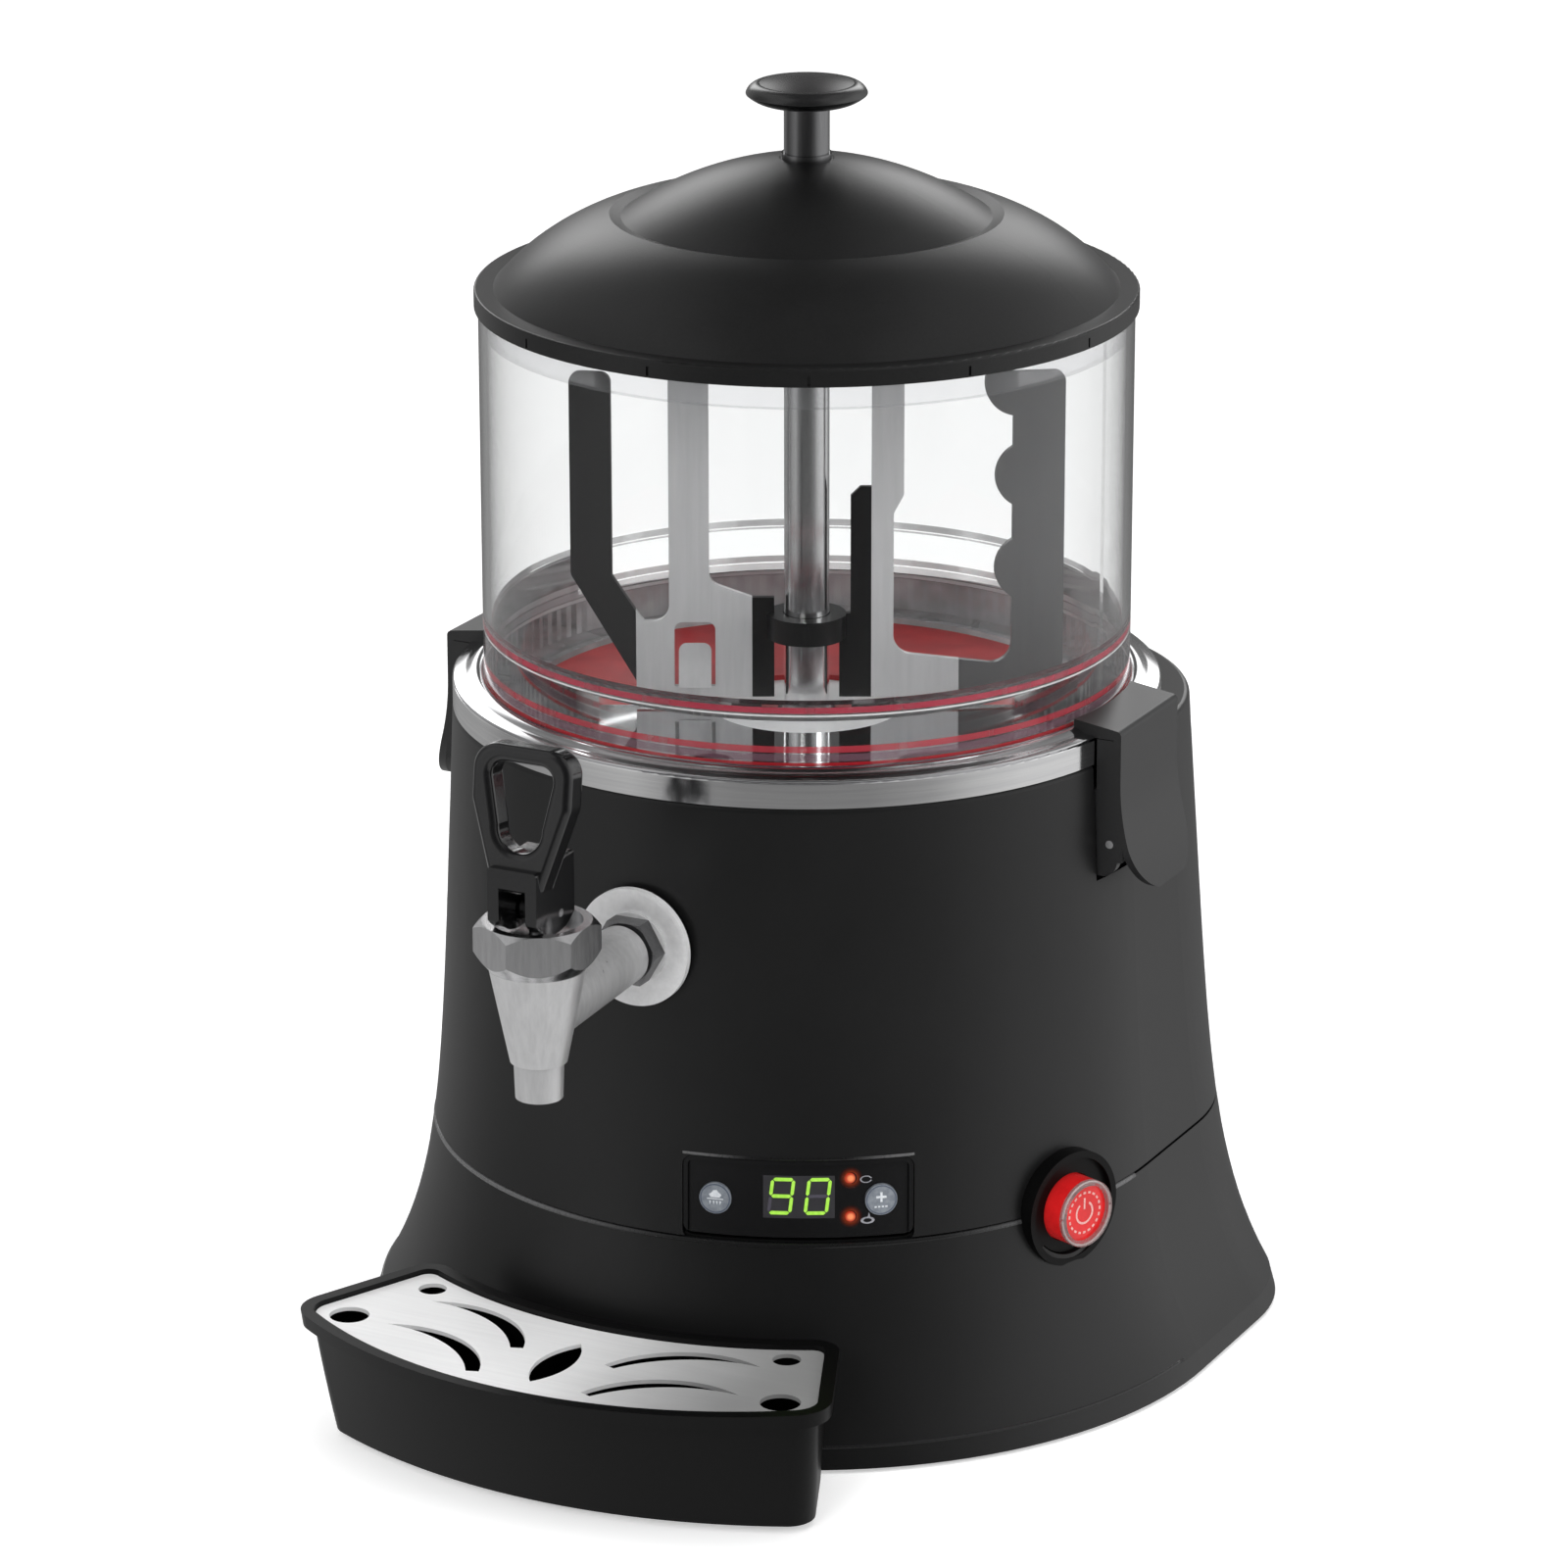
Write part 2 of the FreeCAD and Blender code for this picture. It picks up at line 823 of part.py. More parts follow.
def bottom_plate():
    plate = body_slice(housing_wall + floor_plate_clearance, floor_plate_height, floor_plate_top)
    holes = [rod(screw_radius + running_clearance, point, point + up * floor_boss_top)
             for point in floor_boss_points() + foot_points()]
    return plate.cut(holes)


def foot_points():
    return [Vector(side * foot_spread_x, depth, 0) for side in (-1, 1) for depth in (foot_front_y,
            foot_rear_y)]


def feet():
    pieces = []
    for point in foot_points():
        foot = rod(foot_radius, point, point + up * floor_plate_height)
        recess = rod(foot_recess_radius, point, point + up * foot_recess_depth)
        hole = rod(screw_radius + running_clearance, point, point + up * floor_plate_height)
        pieces.append(foot.cut([recess, hole]))
    return Part.makeCompound(pieces)


def screw(point, seat_height):
    seat = point + up * seat_height
    head = rod(screw_head_radius, seat - up * screw_head_height, seat)
    return joined([head, rod(screw_radius, seat, seat + up * screw_length)])


def base_screws():
    screws = [screw(point, floor_plate_height) for point in floor_boss_points()]
    screws += [screw(point, foot_recess_depth) for point in foot_points()]
    return Part.makeCompound(screws)


def power_inlet():
    flange = inlet_prism(inlet_flange_width, inlet_flange_tall, inlet_corner,
                         rear_depth, rear_depth + inlet_flange_thickness)
    body = inlet_prism(inlet_width, inlet_tall, inlet_corner, rear_depth - inlet_depth, rear_depth)
    socket_start = rear_depth + inlet_flange_thickness - inlet_socket_depth
    socket = inlet_prism(inlet_socket_width, inlet_socket_tall, inlet_corner, socket_start,
            rear_depth + overrun)
    return joined([flange, body]).cut(socket)


def inlet_pins():
    start = rear_depth + inlet_flange_thickness - inlet_socket_depth
    pins = []
    for number in (-1, 0, 1):
        centre_x = number * inlet_pin_spread
        centre_z = inlet_height + (inlet_pin_drop if number == 0 else -inlet_pin_drop)
        pins.append(block(centre_x - inlet_pin_width / 2, centre_x + inlet_pin_width / 2, start,
                          start + inlet_pin_length, centre_z - inlet_pin_tall / 2,
                              centre_z + inlet_pin_tall / 2))
    return Part.makeCompound(pins)


# ---- dish, tank, bowl and seals ----

def bowl_base():
    outer = deck_radius
    dish = spun([
        (column_radius, dish_floor_low), (gutter_radius, dish_floor_low),
            (gutter_radius, rim_top - rim_sheet),
        (outer - rim_sheet, rim_top - rim_sheet), (outer - rim_sheet, deck_height), (outer, deck_height),
        (outer, rim_top), (gutter_radius - rim_sheet, rim_top), (gutter_radius - rim_sheet, dish_floor_top),
        (column_radius, dish_floor_top),
    ])
    rim_edges = [edge for edge in dish.Edges
                 if edge.BoundBox.ZMin > rim_top - tiny and edge.BoundBox.XLength > 2 * outer - cut_margin]
    dish = dish.makeFillet(rim_sheet / 2, rim_edges)
    outlet = rod(outlet_radius, Vector(0, -outlet_distance, dish_floor_low),
                 Vector(0, -outlet_distance, dish_floor_top))
    return dish.cut(outlet)


def water_tank():
    inner = tank_radius - tank_sheet
    tank = spun([
        (column_radius, tank_low), (tank_radius, tank_low), (tank_radius, dish_floor_low),
        (inner, dish_floor_low), (inner, tank_low + tank_sheet), (column_radius, tank_low + tank_sheet),
    ])
    outlet = rod(outlet_radius, Vector(0, -outlet_distance, tap_height), Vector(0, -deck_radius, tap_height))
    probe = rod(probe_radius, out_at(probe_azimuth, tank_radius / 2, probe_height),
                out_at(probe_azimuth, deck_radius, probe_height))
    leads = [rod(element_tube_radius, point - up * element_lead_length,
            point) for point in element_lead_points()]
    return tank.cut([outlet, probe] + leads)


def element_lead_points():
    depth = math.sqrt(element_radius ** 2 - element_lead_spread ** 2)
    height = tank_low + element_lift
    return [Vector(side * element_lead_spread, depth, height) for side in (-1, 1)]


def heating_element():
    """Tube bent to an open ring, with both ends turned down through the tank's floor."""
    points = element_lead_points()
    gap = math.degrees(math.asin(element_lead_spread / element_radius))
    section = Part.Face(Part.Wire(Part.makeCircle(element_tube_radius, points[1],
            Vector(points[1].y, -points[1].x, 0))))
    loop = section.revolve(origin, up, -(360 - 2 * gap))
    drop = up * (element_lift + element_lead_length - element_tube_radius)
    pieces = [loop]
    for point in points:
        pieces.append(Part.makeSphere(element_tube_radius, point))
        pieces.append(rod(element_tube_radius, point - drop, point))
    return joined(pieces)


def temperature_probe():
    start = out_at(probe_azimuth, tank_radius - probe_length / 2, probe_height)
    return rod(probe_radius, start, out_at(probe_azimuth, tank_radius + probe_length / 4, probe_height))


def standpipe():
    return pipe(column_radius, column_bore, up * tank_low, up * column_top)


def shaft_bushes():
    hole = shaft_radius + running_clearance
    return Part.makeCompound([
        pipe(column_bore, hole, up * tank_low, up * (tank_low + bush_length)),
        pipe(column_bore, hole, up * (column_top - bush_length), up * column_top),
    ])


def outlet_path(radius):
    turn_height = tap_height + outlet_bend
    turn_y = -outlet_distance - outlet_bend
    drop = rod(radius, Vector(0, -outlet_distance, dish_floor_top), Vector(0, -outlet_distance, turn_height))
    bend = Part.makeTorus(outlet_bend, radius, Vector(0, turn_y, turn_height), Vector(1, 0, 0), 0, 360)
    quarter = block(-2 * radius, 2 * radius, turn_y, turn_y + 2 * outlet_bend,
            turn_height - 2 * outlet_bend, turn_height)
    run = rod(radius, Vector(0, turn_y, tap_height), Vector(0, -shank_inner_end, tap_height))
    return joined([drop, bend.common(quarter), run])


def outlet_elbow():
    return outlet_path(outlet_radius).cut(outlet_path(outlet_radius - outlet_wall))


def bowl_wall():
    inner = bowl_radius - bowl_wall_thickness
    wall = spun([
        (foot_inner_radius, bowl_low), (bowl_radius, bowl_low), (bowl_radius, bowl_top), (inner, bowl_top),
        (inner, foot_shoulder_high), (foot_inner_radius, foot_shoulder_low),
    ])
    return wall


def bowl_gasket():
    return spun([
        (gasket_inner_radius, dish_floor_top), (gasket_lip_radius, dish_floor_top),
        (gasket_lip_radius, gasket_lip_top), (bowl_radius, gasket_lip_top), (bowl_radius, bowl_low),
        (gasket_inner_radius, bowl_low),
    ])


def floor_seal():
    outer = gasket_inner_radius - floor_seal_gap
    disc = ring(outer, floor_seal_inner_radius, dish_floor_top, dish_floor_top + floor_seal_thickness)
    drain = rod(outlet_radius, Vector(0, -outlet_distance, dish_floor_top),
            Vector(0, -outlet_distance, rim_top))
    return disc.cut(drain)


# ---- drive and mixer ----

def gearbox():
    box = block(-gearbox_width / 2 + gearbox_offset, gearbox_width / 2 + gearbox_offset,
                -gearbox_depth / 2, gearbox_depth / 2, gearbox_low, gearbox_top)
    uprights = [edge for edge in box.Edges if edge.BoundBox.ZLength > gearbox_height / 2]
    box = box.makeFillet(gearbox_corner, uprights)
    hole = rod(shaft_radius + running_clearance, up * (shaft_low - running_clearance), up * gearbox_top)
    return box.cut(hole)


def motor():
    start = Vector(motor_offset, 0, gearbox_low)
    can = rod(motor_radius, start - up * motor_length, start)
    low_edges = [edge for edge in can.Edges if edge.BoundBox.ZMax < gearbox_low - motor_length / 2]
    return can.makeFillet(motor_edge_round, low_edges)


def standoff_points():
    return [Vector(x * standoff_spacing / 2, y * standoff_row / 2, 0) for x in (-1, 1) for y in (-1, 1)]


def motor_bracket():
    plate = block(-bracket_width / 2, bracket_width / 2, -bracket_depth / 2, bracket_depth / 2,
                  gearbox_top, gearbox_top + bracket_thickness)
    return plate.cut(rod(shaft_radius * 2, up * gearbox_low, up * tank_low))


def motor_standoffs():
    return Part.makeCompound([
        rod(standoff_radius, point + up * (gearbox_top + bracket_thickness), point + up * tank_low)
        for point in standoff_points()])


def drive_shaft():
    shaft = rod(shaft_radius, up * shaft_low, up * (cap_top - shaft_flat))
    flat = block(shaft_radius - shaft_flat, 2 * shaft_radius, -shaft_radius, shaft_radius,
            column_top + cut_margin, cap_top)
    return shaft.cut(flat)


def mixer_frame_turn(shape):
    return turned(shape, mixer_azimuth)


def plate_from(points):
    """Thin upright plate in the XZ plane, centred on Y."""
    corners = [Vector(x, -mixer_thickness / 2, z) for x, z in points]
    face = Part.Face(Part.makePolygon(corners + corners[:1]))
    return face.extrude(Vector(0, mixer_thickness, 0))


def folded(shape, fold_x, angle):
    return turned(shape, angle, Vector(fold_x, 0, 0))


def stretch(x, fold_x):
    """Length along a folded wing that shows as the distance from the fold to x."""
    return fold_x + (x - fold_x) / math.cos(math.radians(wing_fold_angle))


def rounded(plate, radius, places):
    """Round the plate's corners that lie at the given places in its own plane."""
    edges = []
    for edge in plate.Edges:
        centre = edge.BoundBox.Center
        if edge.BoundBox.YLength < mixer_thickness / 2:
            continue
        if any(math.hypot(centre.x - x, centre.z - z) < running_clearance for x, z in places):
            edges.append(edge)
    return plate.makeFillet(radius, edges)


def left_plate():
    plate = plate_from([
        (left_fold, mixer_low), (-hub_plate_gap, mixer_low), (-hub_plate_gap, hub_plate_top),
        (hub_plate_left, hub_plate_top), (left_inner_strip_end, left_plate_top),
        (left_inner_strip_end, mixer_bar_low), (left_inner_strip_start, mixer_bar_low),
        (left_inner_strip_start, left_pocket_floor), (left_fold + left_pocket_flat, left_pocket_floor),
        (left_fold, left_web_high),
    ])
    plate = rounded(plate, plate_corner, [(left_inner_strip_start, left_pocket_floor),
                                          (left_inner_strip_end, left_plate_top)])
    window = plate_from([(tongue_start, tongue_hinge), (tongue_end, tongue_hinge),
                         (tongue_end, tongue_window_top), (tongue_start, tongue_window_top)])
    window = rounded(window, tongue_window_corner, [(tongue_start, tongue_window_top),
                                                    (tongue_end, tongue_window_top)])
    return plate.cut(window)


def tongue():
    """Flap bent back out of the left plate's window, hinged at the window's low edge."""
    flap = plate_from([
        (tongue_start + tongue_clearance, tongue_hinge - mixer_thickness / 2),
        (tongue_end - tongue_clearance, tongue_hinge - mixer_thickness / 2),
        (tongue_end - tongue_clearance, tongue_top), (tongue_start + tongue_clearance, tongue_top),
    ])
    flap = rounded(flap, tongue_window_corner, [(tongue_end - tongue_clearance, tongue_top),
                                                (tongue_start + tongue_clearance, tongue_top)])
    return turned(flap, -tongue_angle, Vector(0, 0, tongue_hinge), Vector(1, 0, 0))


def left_wing():
    outer = stretch(left_outer_edge, left_fold)
    inner = stretch(left_outer_inner_edge, left_fold)
    wing = plate_from([
        (left_fold, left_web_low), (left_fold, left_web_high), (inner, left_strip_knee),
        (inner, wing_top), (outer, wing_top), (outer, left_strip_knee),
    ])
    wing = rounded(wing, wing_corner, [(inner, wing_top), (outer, wing_top), (outer, left_strip_knee)])
    return folded(wing, left_fold, -wing_fold_angle)


def right_plate():
    low_end = right_inner_strip_end - strip_step
    plate = plate_from([
        (hub_plate_gap, mixer_low), (right_fold, mixer_low), (right_fold, right_pocket_floor - web_drop),
        (low_end, right_pocket_floor), (low_end, strip_step_low), (right_inner_strip_end, strip_step_high),
        (right_inner_strip_end, mixer_bar_low), (hub_plate_right, mixer_bar_low),
        (hub_plate_right, upright_top), (upright_edge + mixer_corner / 2, upright_top),
        (upright_edge, upright_top - mixer_corner / 2), (upright_edge, hub_low + hub_height),
        (hub_plate_gap, hub_low + hub_height),
    ])
    return rounded(plate, mixer_corner, [(low_end, right_pocket_floor)])


def right_wing():
    outer = stretch(right_outer_edge, right_fold)
    inner = stretch(right_outer_inner_edge, right_fold)
    pocket_low_corner = right_pocket_floor - right_pocket_drop
    wing = plate_from([
        (right_fold, mixer_low), (outer, mixer_low), (outer, wing_top), (inner, wing_top),
        (inner, pocket_low_corner), (right_fold, right_pocket_floor - web_drop),
    ])
    wing = rounded(wing, wing_low_corner, [(outer, mixer_low)])
    wing = rounded(wing, right_pocket_corner, [(inner, pocket_low_corner)])
    wing = rounded(wing, wing_corner, [(outer, wing_top)])
    teeth = []
    for number in range(scallop_count):
        height = scallop_low + number * scallop_pitch
        reach = scallop_depth + (scallop_top_reach if number == scallop_count - 1 else 0)
        centre = Vector(inner + scallop_radius - reach, 0, height)
        teeth.append(rod(scallop_radius, centre - Vector(0, mixer_thickness / 2, 0),
                         centre + Vector(0, mixer_thickness / 2, 0)))
    room = block(right_fold, outer - mixer_corner, -mixer_thickness, mixer_thickness, right_pocket_floor,
            wing_top)
    return folded(joined([wing] + [tooth.common(room) for tooth in teeth]), right_fold, wing_fold_angle)


def mixer_bar():
    """Top bar that ties the two inner strips to the drive cap."""
    return block(left_inner_strip_start, right_inner_strip_end, -mixer_thickness, mixer_thickness,
                 mixer_bar_low, mixer_bar_low + mixer_bar_height)


def mixer_paddle():
    hub = ring(hub_radius, column_radius + hub_clearance, hub_low, hub_low + hub_height)
    room = rod(column_radius + hub_clearance, up * mixer_low, up * mixer_bar_low)
    plates = [left_plate(), tongue(), left_wing(), right_plate(), right_wing(), mixer_bar()]
    paddle = joined([hub] + [plate.cut(room) for plate in plates])
    paddle = paddle.cut(rod(cap_radius, up * (mixer_bar_low - cut_margin), up * (cap_top + cut_margin)))
    return mixer_frame_turn(paddle)


def mixer_cap():
    cap = rod(cap_radius, up * mixer_bar_low, up * cap_top)
    round_edges = [edge for edge in cap.Edges if edge.BoundBox.ZMin > cap_top - tiny]
    cap = cap.makeFillet(cap_round, round_edges)
    return cap.cut(drive_shaft())


# ---- lid ----

def lid_curve(offset):
    """Lid surface from the rim's flat to the top, moved inwards by the offset."""
    flat = Vector(lid_flat_radius - offset, 0, lid_rim_top - offset)
    crest = Vector(lid_crest_radius - offset / 2, 0, lid_crest_height - offset)
    valley = Vector(lid_valley_radius - offset / 2, 0, lid_valley_height - offset)
    top = Vector(lid_top_radius, 0, lid_top_height - offset)
    lower = crest - flat
    upper = top - valley
    lower_out = Vector(-lower.z, 0, lower.x).normalize() * -lid_lower_bulge
    upper_out = Vector(-upper.z, 0, upper.x).normalize() * -lid_upper_bulge
    return [
        bow(flat, midpoint(flat, crest) + lower_out, crest),
        straight(crest, valley),
        bow(valley, midpoint(valley, top) + upper_out, top),
    ], flat, top


def lid_shell():
    outside, flat, top = lid_curve(0)
    inside, low_flat, low_top = lid_curve(lid_wall)
    bore = knob_screw_radius + running_clearance
    rim_inner = lid_radius - 2 * lid_wall
    path = [
        Vector(rim_inner, 0, lid_low), Vector(lid_radius, 0, lid_low), Vector(lid_radius, 0, lid_rim_top),
            flat,
    ]
    close_top = [top, Vector(bore, 0, lid_top_height), Vector(bore, 0, lid_top_height - lid_wall), low_top]
    close_rim = [low_flat, Vector(rim_inner, 0, lid_rim_top - lid_wall), Vector(rim_inner, 0, lid_low)]
    edges = outside + inside
    for corners in (path, close_top, close_rim):
        edges += [straight(first, second) for first, second in zip(corners, corners[1:])]
    wire = Part.Wire(Part.sortEdges(edges)[0])
    lid = Part.Face(wire).revolve(origin, up, 360)
    rim_edges = [edge for edge in lid.Edges
                 if edge.BoundBox.XLength > 2 * lid_radius - cut_margin and edge.BoundBox.ZMin > lid_rim_top - tiny]
    lid = lid.makeFillet(lid_notch_depth, rim_edges)
    notches = []
    for number in range(lid_notch_count):
        azimuth = lid_notch_offset + number * 360 / lid_notch_count
        notch = block(-lid_notch_width / 2, lid_notch_width / 2, -lid_radius - cut_margin,
                      lid_notch_depth - lid_radius, lid_low + lid_notch_low, lid_low + lid_notch_high)
        notches.append(turned(notch, azimuth))
    return lid.cut(notches)


def lid_ring():
    outer = bowl_radius - bowl_wall_thickness - lid_ring_clearance
    high = lid_rim_top - lid_wall
    skirt = ring(outer, outer - lid_ring_thickness, bowl_top - lid_ring_depth, high)
    flange = ring(lid_radius - 2 * lid_wall, outer - lid_ring_thickness, bowl_top + lid_ring_step, high)
    return joined([skirt, flange])


def lid_stem():
    collar = rod(knob_collar_radius, up * lid_top_height, up * (lid_top_height + knob_collar_height))
    stem = rod(knob_stem_radius, up * lid_top_height, up * knob_underside)
    return joined([collar, stem]).cut(rod(knob_screw_radius, up * lid_top_height, up * knob_underside))


def knob_dome():
    """Middle point of the knob's flat dome, level where it crosses the axis."""
    rise = knob_top - knob_shoulder_height
    sphere = (knob_shoulder_radius ** 2 + rise ** 2) / (2 * rise)
    middle = knob_shoulder_radius / 2
    return Vector(middle, 0, knob_top - sphere + math.sqrt(sphere ** 2 - middle ** 2))


def lid_knob():
    low = Vector(0, 0, knob_underside)
    rim = Vector(knob_radius, 0, knob_rim_height)
    shoulder = Vector(knob_shoulder_radius, 0, knob_shoulder_height)
    top = Vector(0, 0, knob_top)
    side = midpoint(rim, shoulder) + Vector(knob_shoulder_bulge, 0, knob_shoulder_bulge)
    flare = Vector(knob_stem_radius + knob_flare, 0, knob_underside)
    lower = bow(flare, Vector(knob_flare_radius, 0, knob_flare_height), rim)
    wire = Part.Wire([straight(low, flare), lower, bow(rim, side, shoulder), bow(shoulder, knob_dome(), top),
                      straight(top, low)])
    knob = Part.Face(wire).revolve(origin, up, 360)
    rim_edges = [edge for edge in knob.Edges if edge.BoundBox.XLength > 2 * knob_radius - cut_margin]
    knob = knob.makeFillet(knob_edge_round, rim_edges)
    return knob.cut(rod(knob_screw_radius, low, low + up * (knob_rim_height - knob_underside)))


def knob_screw():
    low = lid_top_height - lid_wall
    shank = rod(knob_screw_radius, up * low, up * knob_rim_height)
    head = rod(2 * knob_screw_radius, up * (low - screw_head_height), up * low)
    return joined([shank, head])


# ---- tap ----

def spout_point(height):
    return Vector(0, -spout_reach, height)


def shank_point(distance):
    return Vector(0, -distance, tap_height)


def flange_back():
    """Distance from the bowl axis to the flat back of the tap's flange."""
    return half_width(tap_height) + gasket_thickness


def tap_nut_face():
    return flange_back() + flange_thickness + nut_thickness


def tap_body():
    tip = frustum(spout_tip_radius, spout_step_radius, spout_point(spout_tip_height),
            spout_point(spout_step_height))
    cone = frustum(cone_low_radius, cone_top_radius, spout_point(spout_step_height),
            spout_point(cone_top_height))
    barrel = frustum(barrel_end_radius, barrel_start_radius, shank_point(tap_nut_face() + nut_barrel_gap),
                     shank_point(spout_reach))
    bore = rod(spout_bore_radius, spout_point(spout_tip_height), spout_point(chamber_low))
    chamber = rod(chamber_radius, spout_point(chamber_low), spout_point(cone_top_height))
    inlet = rod(shank_bore_radius, shank_point(tap_nut_face()), shank_point(spout_reach))
    socket = rod(shank_radius, shank_point(tap_nut_face()), shank_point(spout_reach - cone_top_radius))
    return joined([tip, cone, barrel]).cut([bore, chamber, inlet, socket])


def tap_shank():
    return pipe(shank_radius, shank_bore_radius, shank_point(shank_inner_end),
                shank_point(spout_reach - cone_top_radius))


def tap_gasket():
    disc = pipe(gasket_radius, shank_radius, shank_point(tank_radius), shank_point(flange_back()))
    return disc.cut(body_form(0))


def tap_flange():
    disc = pipe(flange_radius, shank_radius, shank_point(flange_back()),
            shank_point(flange_back() + flange_thickness))
    face = flange_back() + flange_thickness
    dish = frustum(nut_corners / 2, flange_radius - flange_thickness / 2, shank_point(face - flange_dish),
            shank_point(face))
    seat = rod(nut_corners / 2, shank_point(flange_back()), shank_point(face))
    return joined([disc.cut(dish), disc.common(seat)])


def tap_nut():
    nut = hexagon(nut_corners, shank_point(flange_back() + flange_thickness), shank_point(tap_nut_face()))
    return nut.cut(rod(shank_radius, shank_point(tank_radius), shank_point(spout_reach)))


def tap_lock_nut():
    inside = half_width(tap_height) - housing_wall
    half = nut_corners / 2
    face = math.sqrt(inside ** 2 - half ** 2) - panel_fit
    nut = hexagon(nut_corners, shank_point(face - lock_nut_thickness), shank_point(face))
    return nut.cut(rod(shank_radius, shank_point(tank_radius), shank_point(spout_reach)))


def tap_bonnet():
    """Chamfered hexagon with a round mouth on top, where the lever's fork sits."""
    corner = bonnet_corners / 2
    flat = corner * math.cos(math.radians(30))
    prism = hexagon(bonnet_corners, spout_point(cone_top_height), spout_point(bonnet_top), 30)
    low_cone = frustum(cone_top_radius, corner, spout_point(cone_top_height), spout_point(bonnet_flat_low))
    middle = rod(corner, spout_point(bonnet_flat_low), spout_point(bonnet_flat_high))
    crown = frustum(corner, flat, spout_point(bonnet_flat_high), spout_point(bonnet_top))
    plug = rod(chamber_radius, spout_point(cone_top_height - bonnet_plug_depth), spout_point(cone_top_height))
    mouth = rod(bonnet_mouth_radius, spout_point(bonnet_floor_height), spout_point(handle_top))
    bore = rod(stem_radius + running_clearance, spout_point(spout_tip_height), spout_point(handle_top))
    return joined([prism.common(joined([low_cone, middle, crown])), plug]).cut([mouth, bore])


def tap_stem():
    low = chamber_low + seat_height / 2
    stem = rod(stem_radius, spout_point(low), spout_point(pin_height))
    eye = rod(stem_eye_radius, Vector(-stem_eye_radius, -spout_reach, pin_height),
              Vector(stem_eye_radius, -spout_reach, pin_height))
    hole = rod(tap_pin_radius, Vector(-fork_width, -spout_reach, pin_height),
            Vector(fork_width, -spout_reach, pin_height))
    return joined([stem, eye]).cut(hole)


def tap_seat():
    cup = rod(seat_radius, spout_point(chamber_low), spout_point(chamber_low + seat_height))
    low = chamber_low + seat_height / 2
    return cup.cut(rod(stem_radius, spout_point(low), spout_point(pin_height)))


def tap_pin():
    half = fork_width / 2
    return rod(tap_pin_radius, Vector(-half, -spout_reach, pin_height),
            Vector(half, -spout_reach, pin_height))


def grip_rear():
    """Depth of the grip's rear face, before the grip is leaned back."""
    return handle_setback + handle_thickness - spout_reach - fork_front


def handle_outline():
    wide = handle_width / 2
    neck = handle_neck_width / 2
    corners = [(-neck, fork_top), (-wide, handle_shoulder_height), (-wide, handle_top), (wide, handle_top),
               (wide, handle_shoulder_height), (neck, fork_top)]
    points = [Vector(x, grip_rear() - handle_thickness, z) for x, z in corners]
    solid = Part.Face(Part.makePolygon(points + points[:1])).extrude(Vector(0, handle_thickness, 0))
    edges = [edge for edge in solid.Edges
             if edge.BoundBox.YLength > handle_thickness / 2 and edge.BoundBox.ZMin > handle_shoulder_height - cut_margin]
    return solid.makeFillet(handle_corner, edges)


def handle_eye():
    wide = eye_width / 2
    narrow = eye_low_width / 2
    face = grip_rear() - 2 * handle_thickness
    left_low = Vector(-narrow, face, eye_shoulder_height)
    right_low = Vector(narrow, face, eye_shoulder_height)
    left_high = Vector(-wide, face, eye_high)
    right_high = Vector(wide, face, eye_high)
    wire = Part.Wire([
        bow(left_low, Vector(0, face, eye_low), right_low),
        straight(right_low, right_high), straight(right_high, left_high), straight(left_high, left_low),
    ])
    solid = Part.Face(wire).extrude(Vector(0, 3 * handle_thickness, 0))
    edges = [edge for edge in solid.Edges
             if edge.BoundBox.YLength > handle_thickness and edge.BoundBox.ZMin > eye_high - cut_margin]
    return solid.makeFillet(eye_corner, edges)


def fork():
    """Side profile of the lever's foot: flat front and rear, a round cam below, a saddle up to the grip."""
    left = -fork_width / 2
    front = -spout_reach - fork_front
    rear = fork_rear - spout_reach
    front_low = Vector(left, front, fork_front_low)
    rear_low = Vector(left, rear, fork_rear_low)
    corners = [
        rear_low, Vector(left, rear, fork_heel_height),
            Vector(left, rear - fork_heel_depth, fork_heel_height),
        Vector(left, grip_rear(), fork_saddle_height), Vector(left, front, fork_saddle_height), front_low,
    ]
    edges = [straight(first, second) for first, second in zip(corners, corners[1:])]
    edges.append(bow(front_low, Vector(left, -spout_reach - fork_low_shift, fork_low), rear_low))
    solid = Part.Face(Part.Wire(edges)).extrude(Vector(fork_width, 0, 0))
    return solid.makeFillet(fork_edge_round, [edge for edge in solid.Edges
                                              if edge.BoundBox.ZMin > fork_front_low and edge.BoundBox.XLength < cut_margin])


def tap_handle():
    grip = handle_outline().cut(handle_eye())
    faces = [edge for edge in grip.Edges if edge.BoundBox.YLength < tiny and edge.BoundBox.ZMax > fork_top + cut_margin]
    grip = grip.makeFillet(handle_edge_round, faces)
    grip = turned(grip, -handle_lean, Vector(0, grip_rear() - handle_thickness, fork_saddle_height),
            Vector(1, 0, 0))
    slot = block(-fork_slot / 2, fork_slot / 2, -spout_reach - 2 * fork_front, fork_front - spout_reach,
                 bonnet_floor_height - cut_margin, fork_top)
    bore = rod(tap_pin_radius + running_clearance, Vector(-fork_width, -spout_reach, pin_height),
               Vector(fork_width, -spout_reach, pin_height))
    return joined([grip, fork()]).cut([slot, bore])


# ---- latches ----

def latch_rod(radius, half_length):
    return rod(radius, Vector(pivot_x, -half_length, pivot_height),
            Vector(pivot_x, half_length, pivot_height))


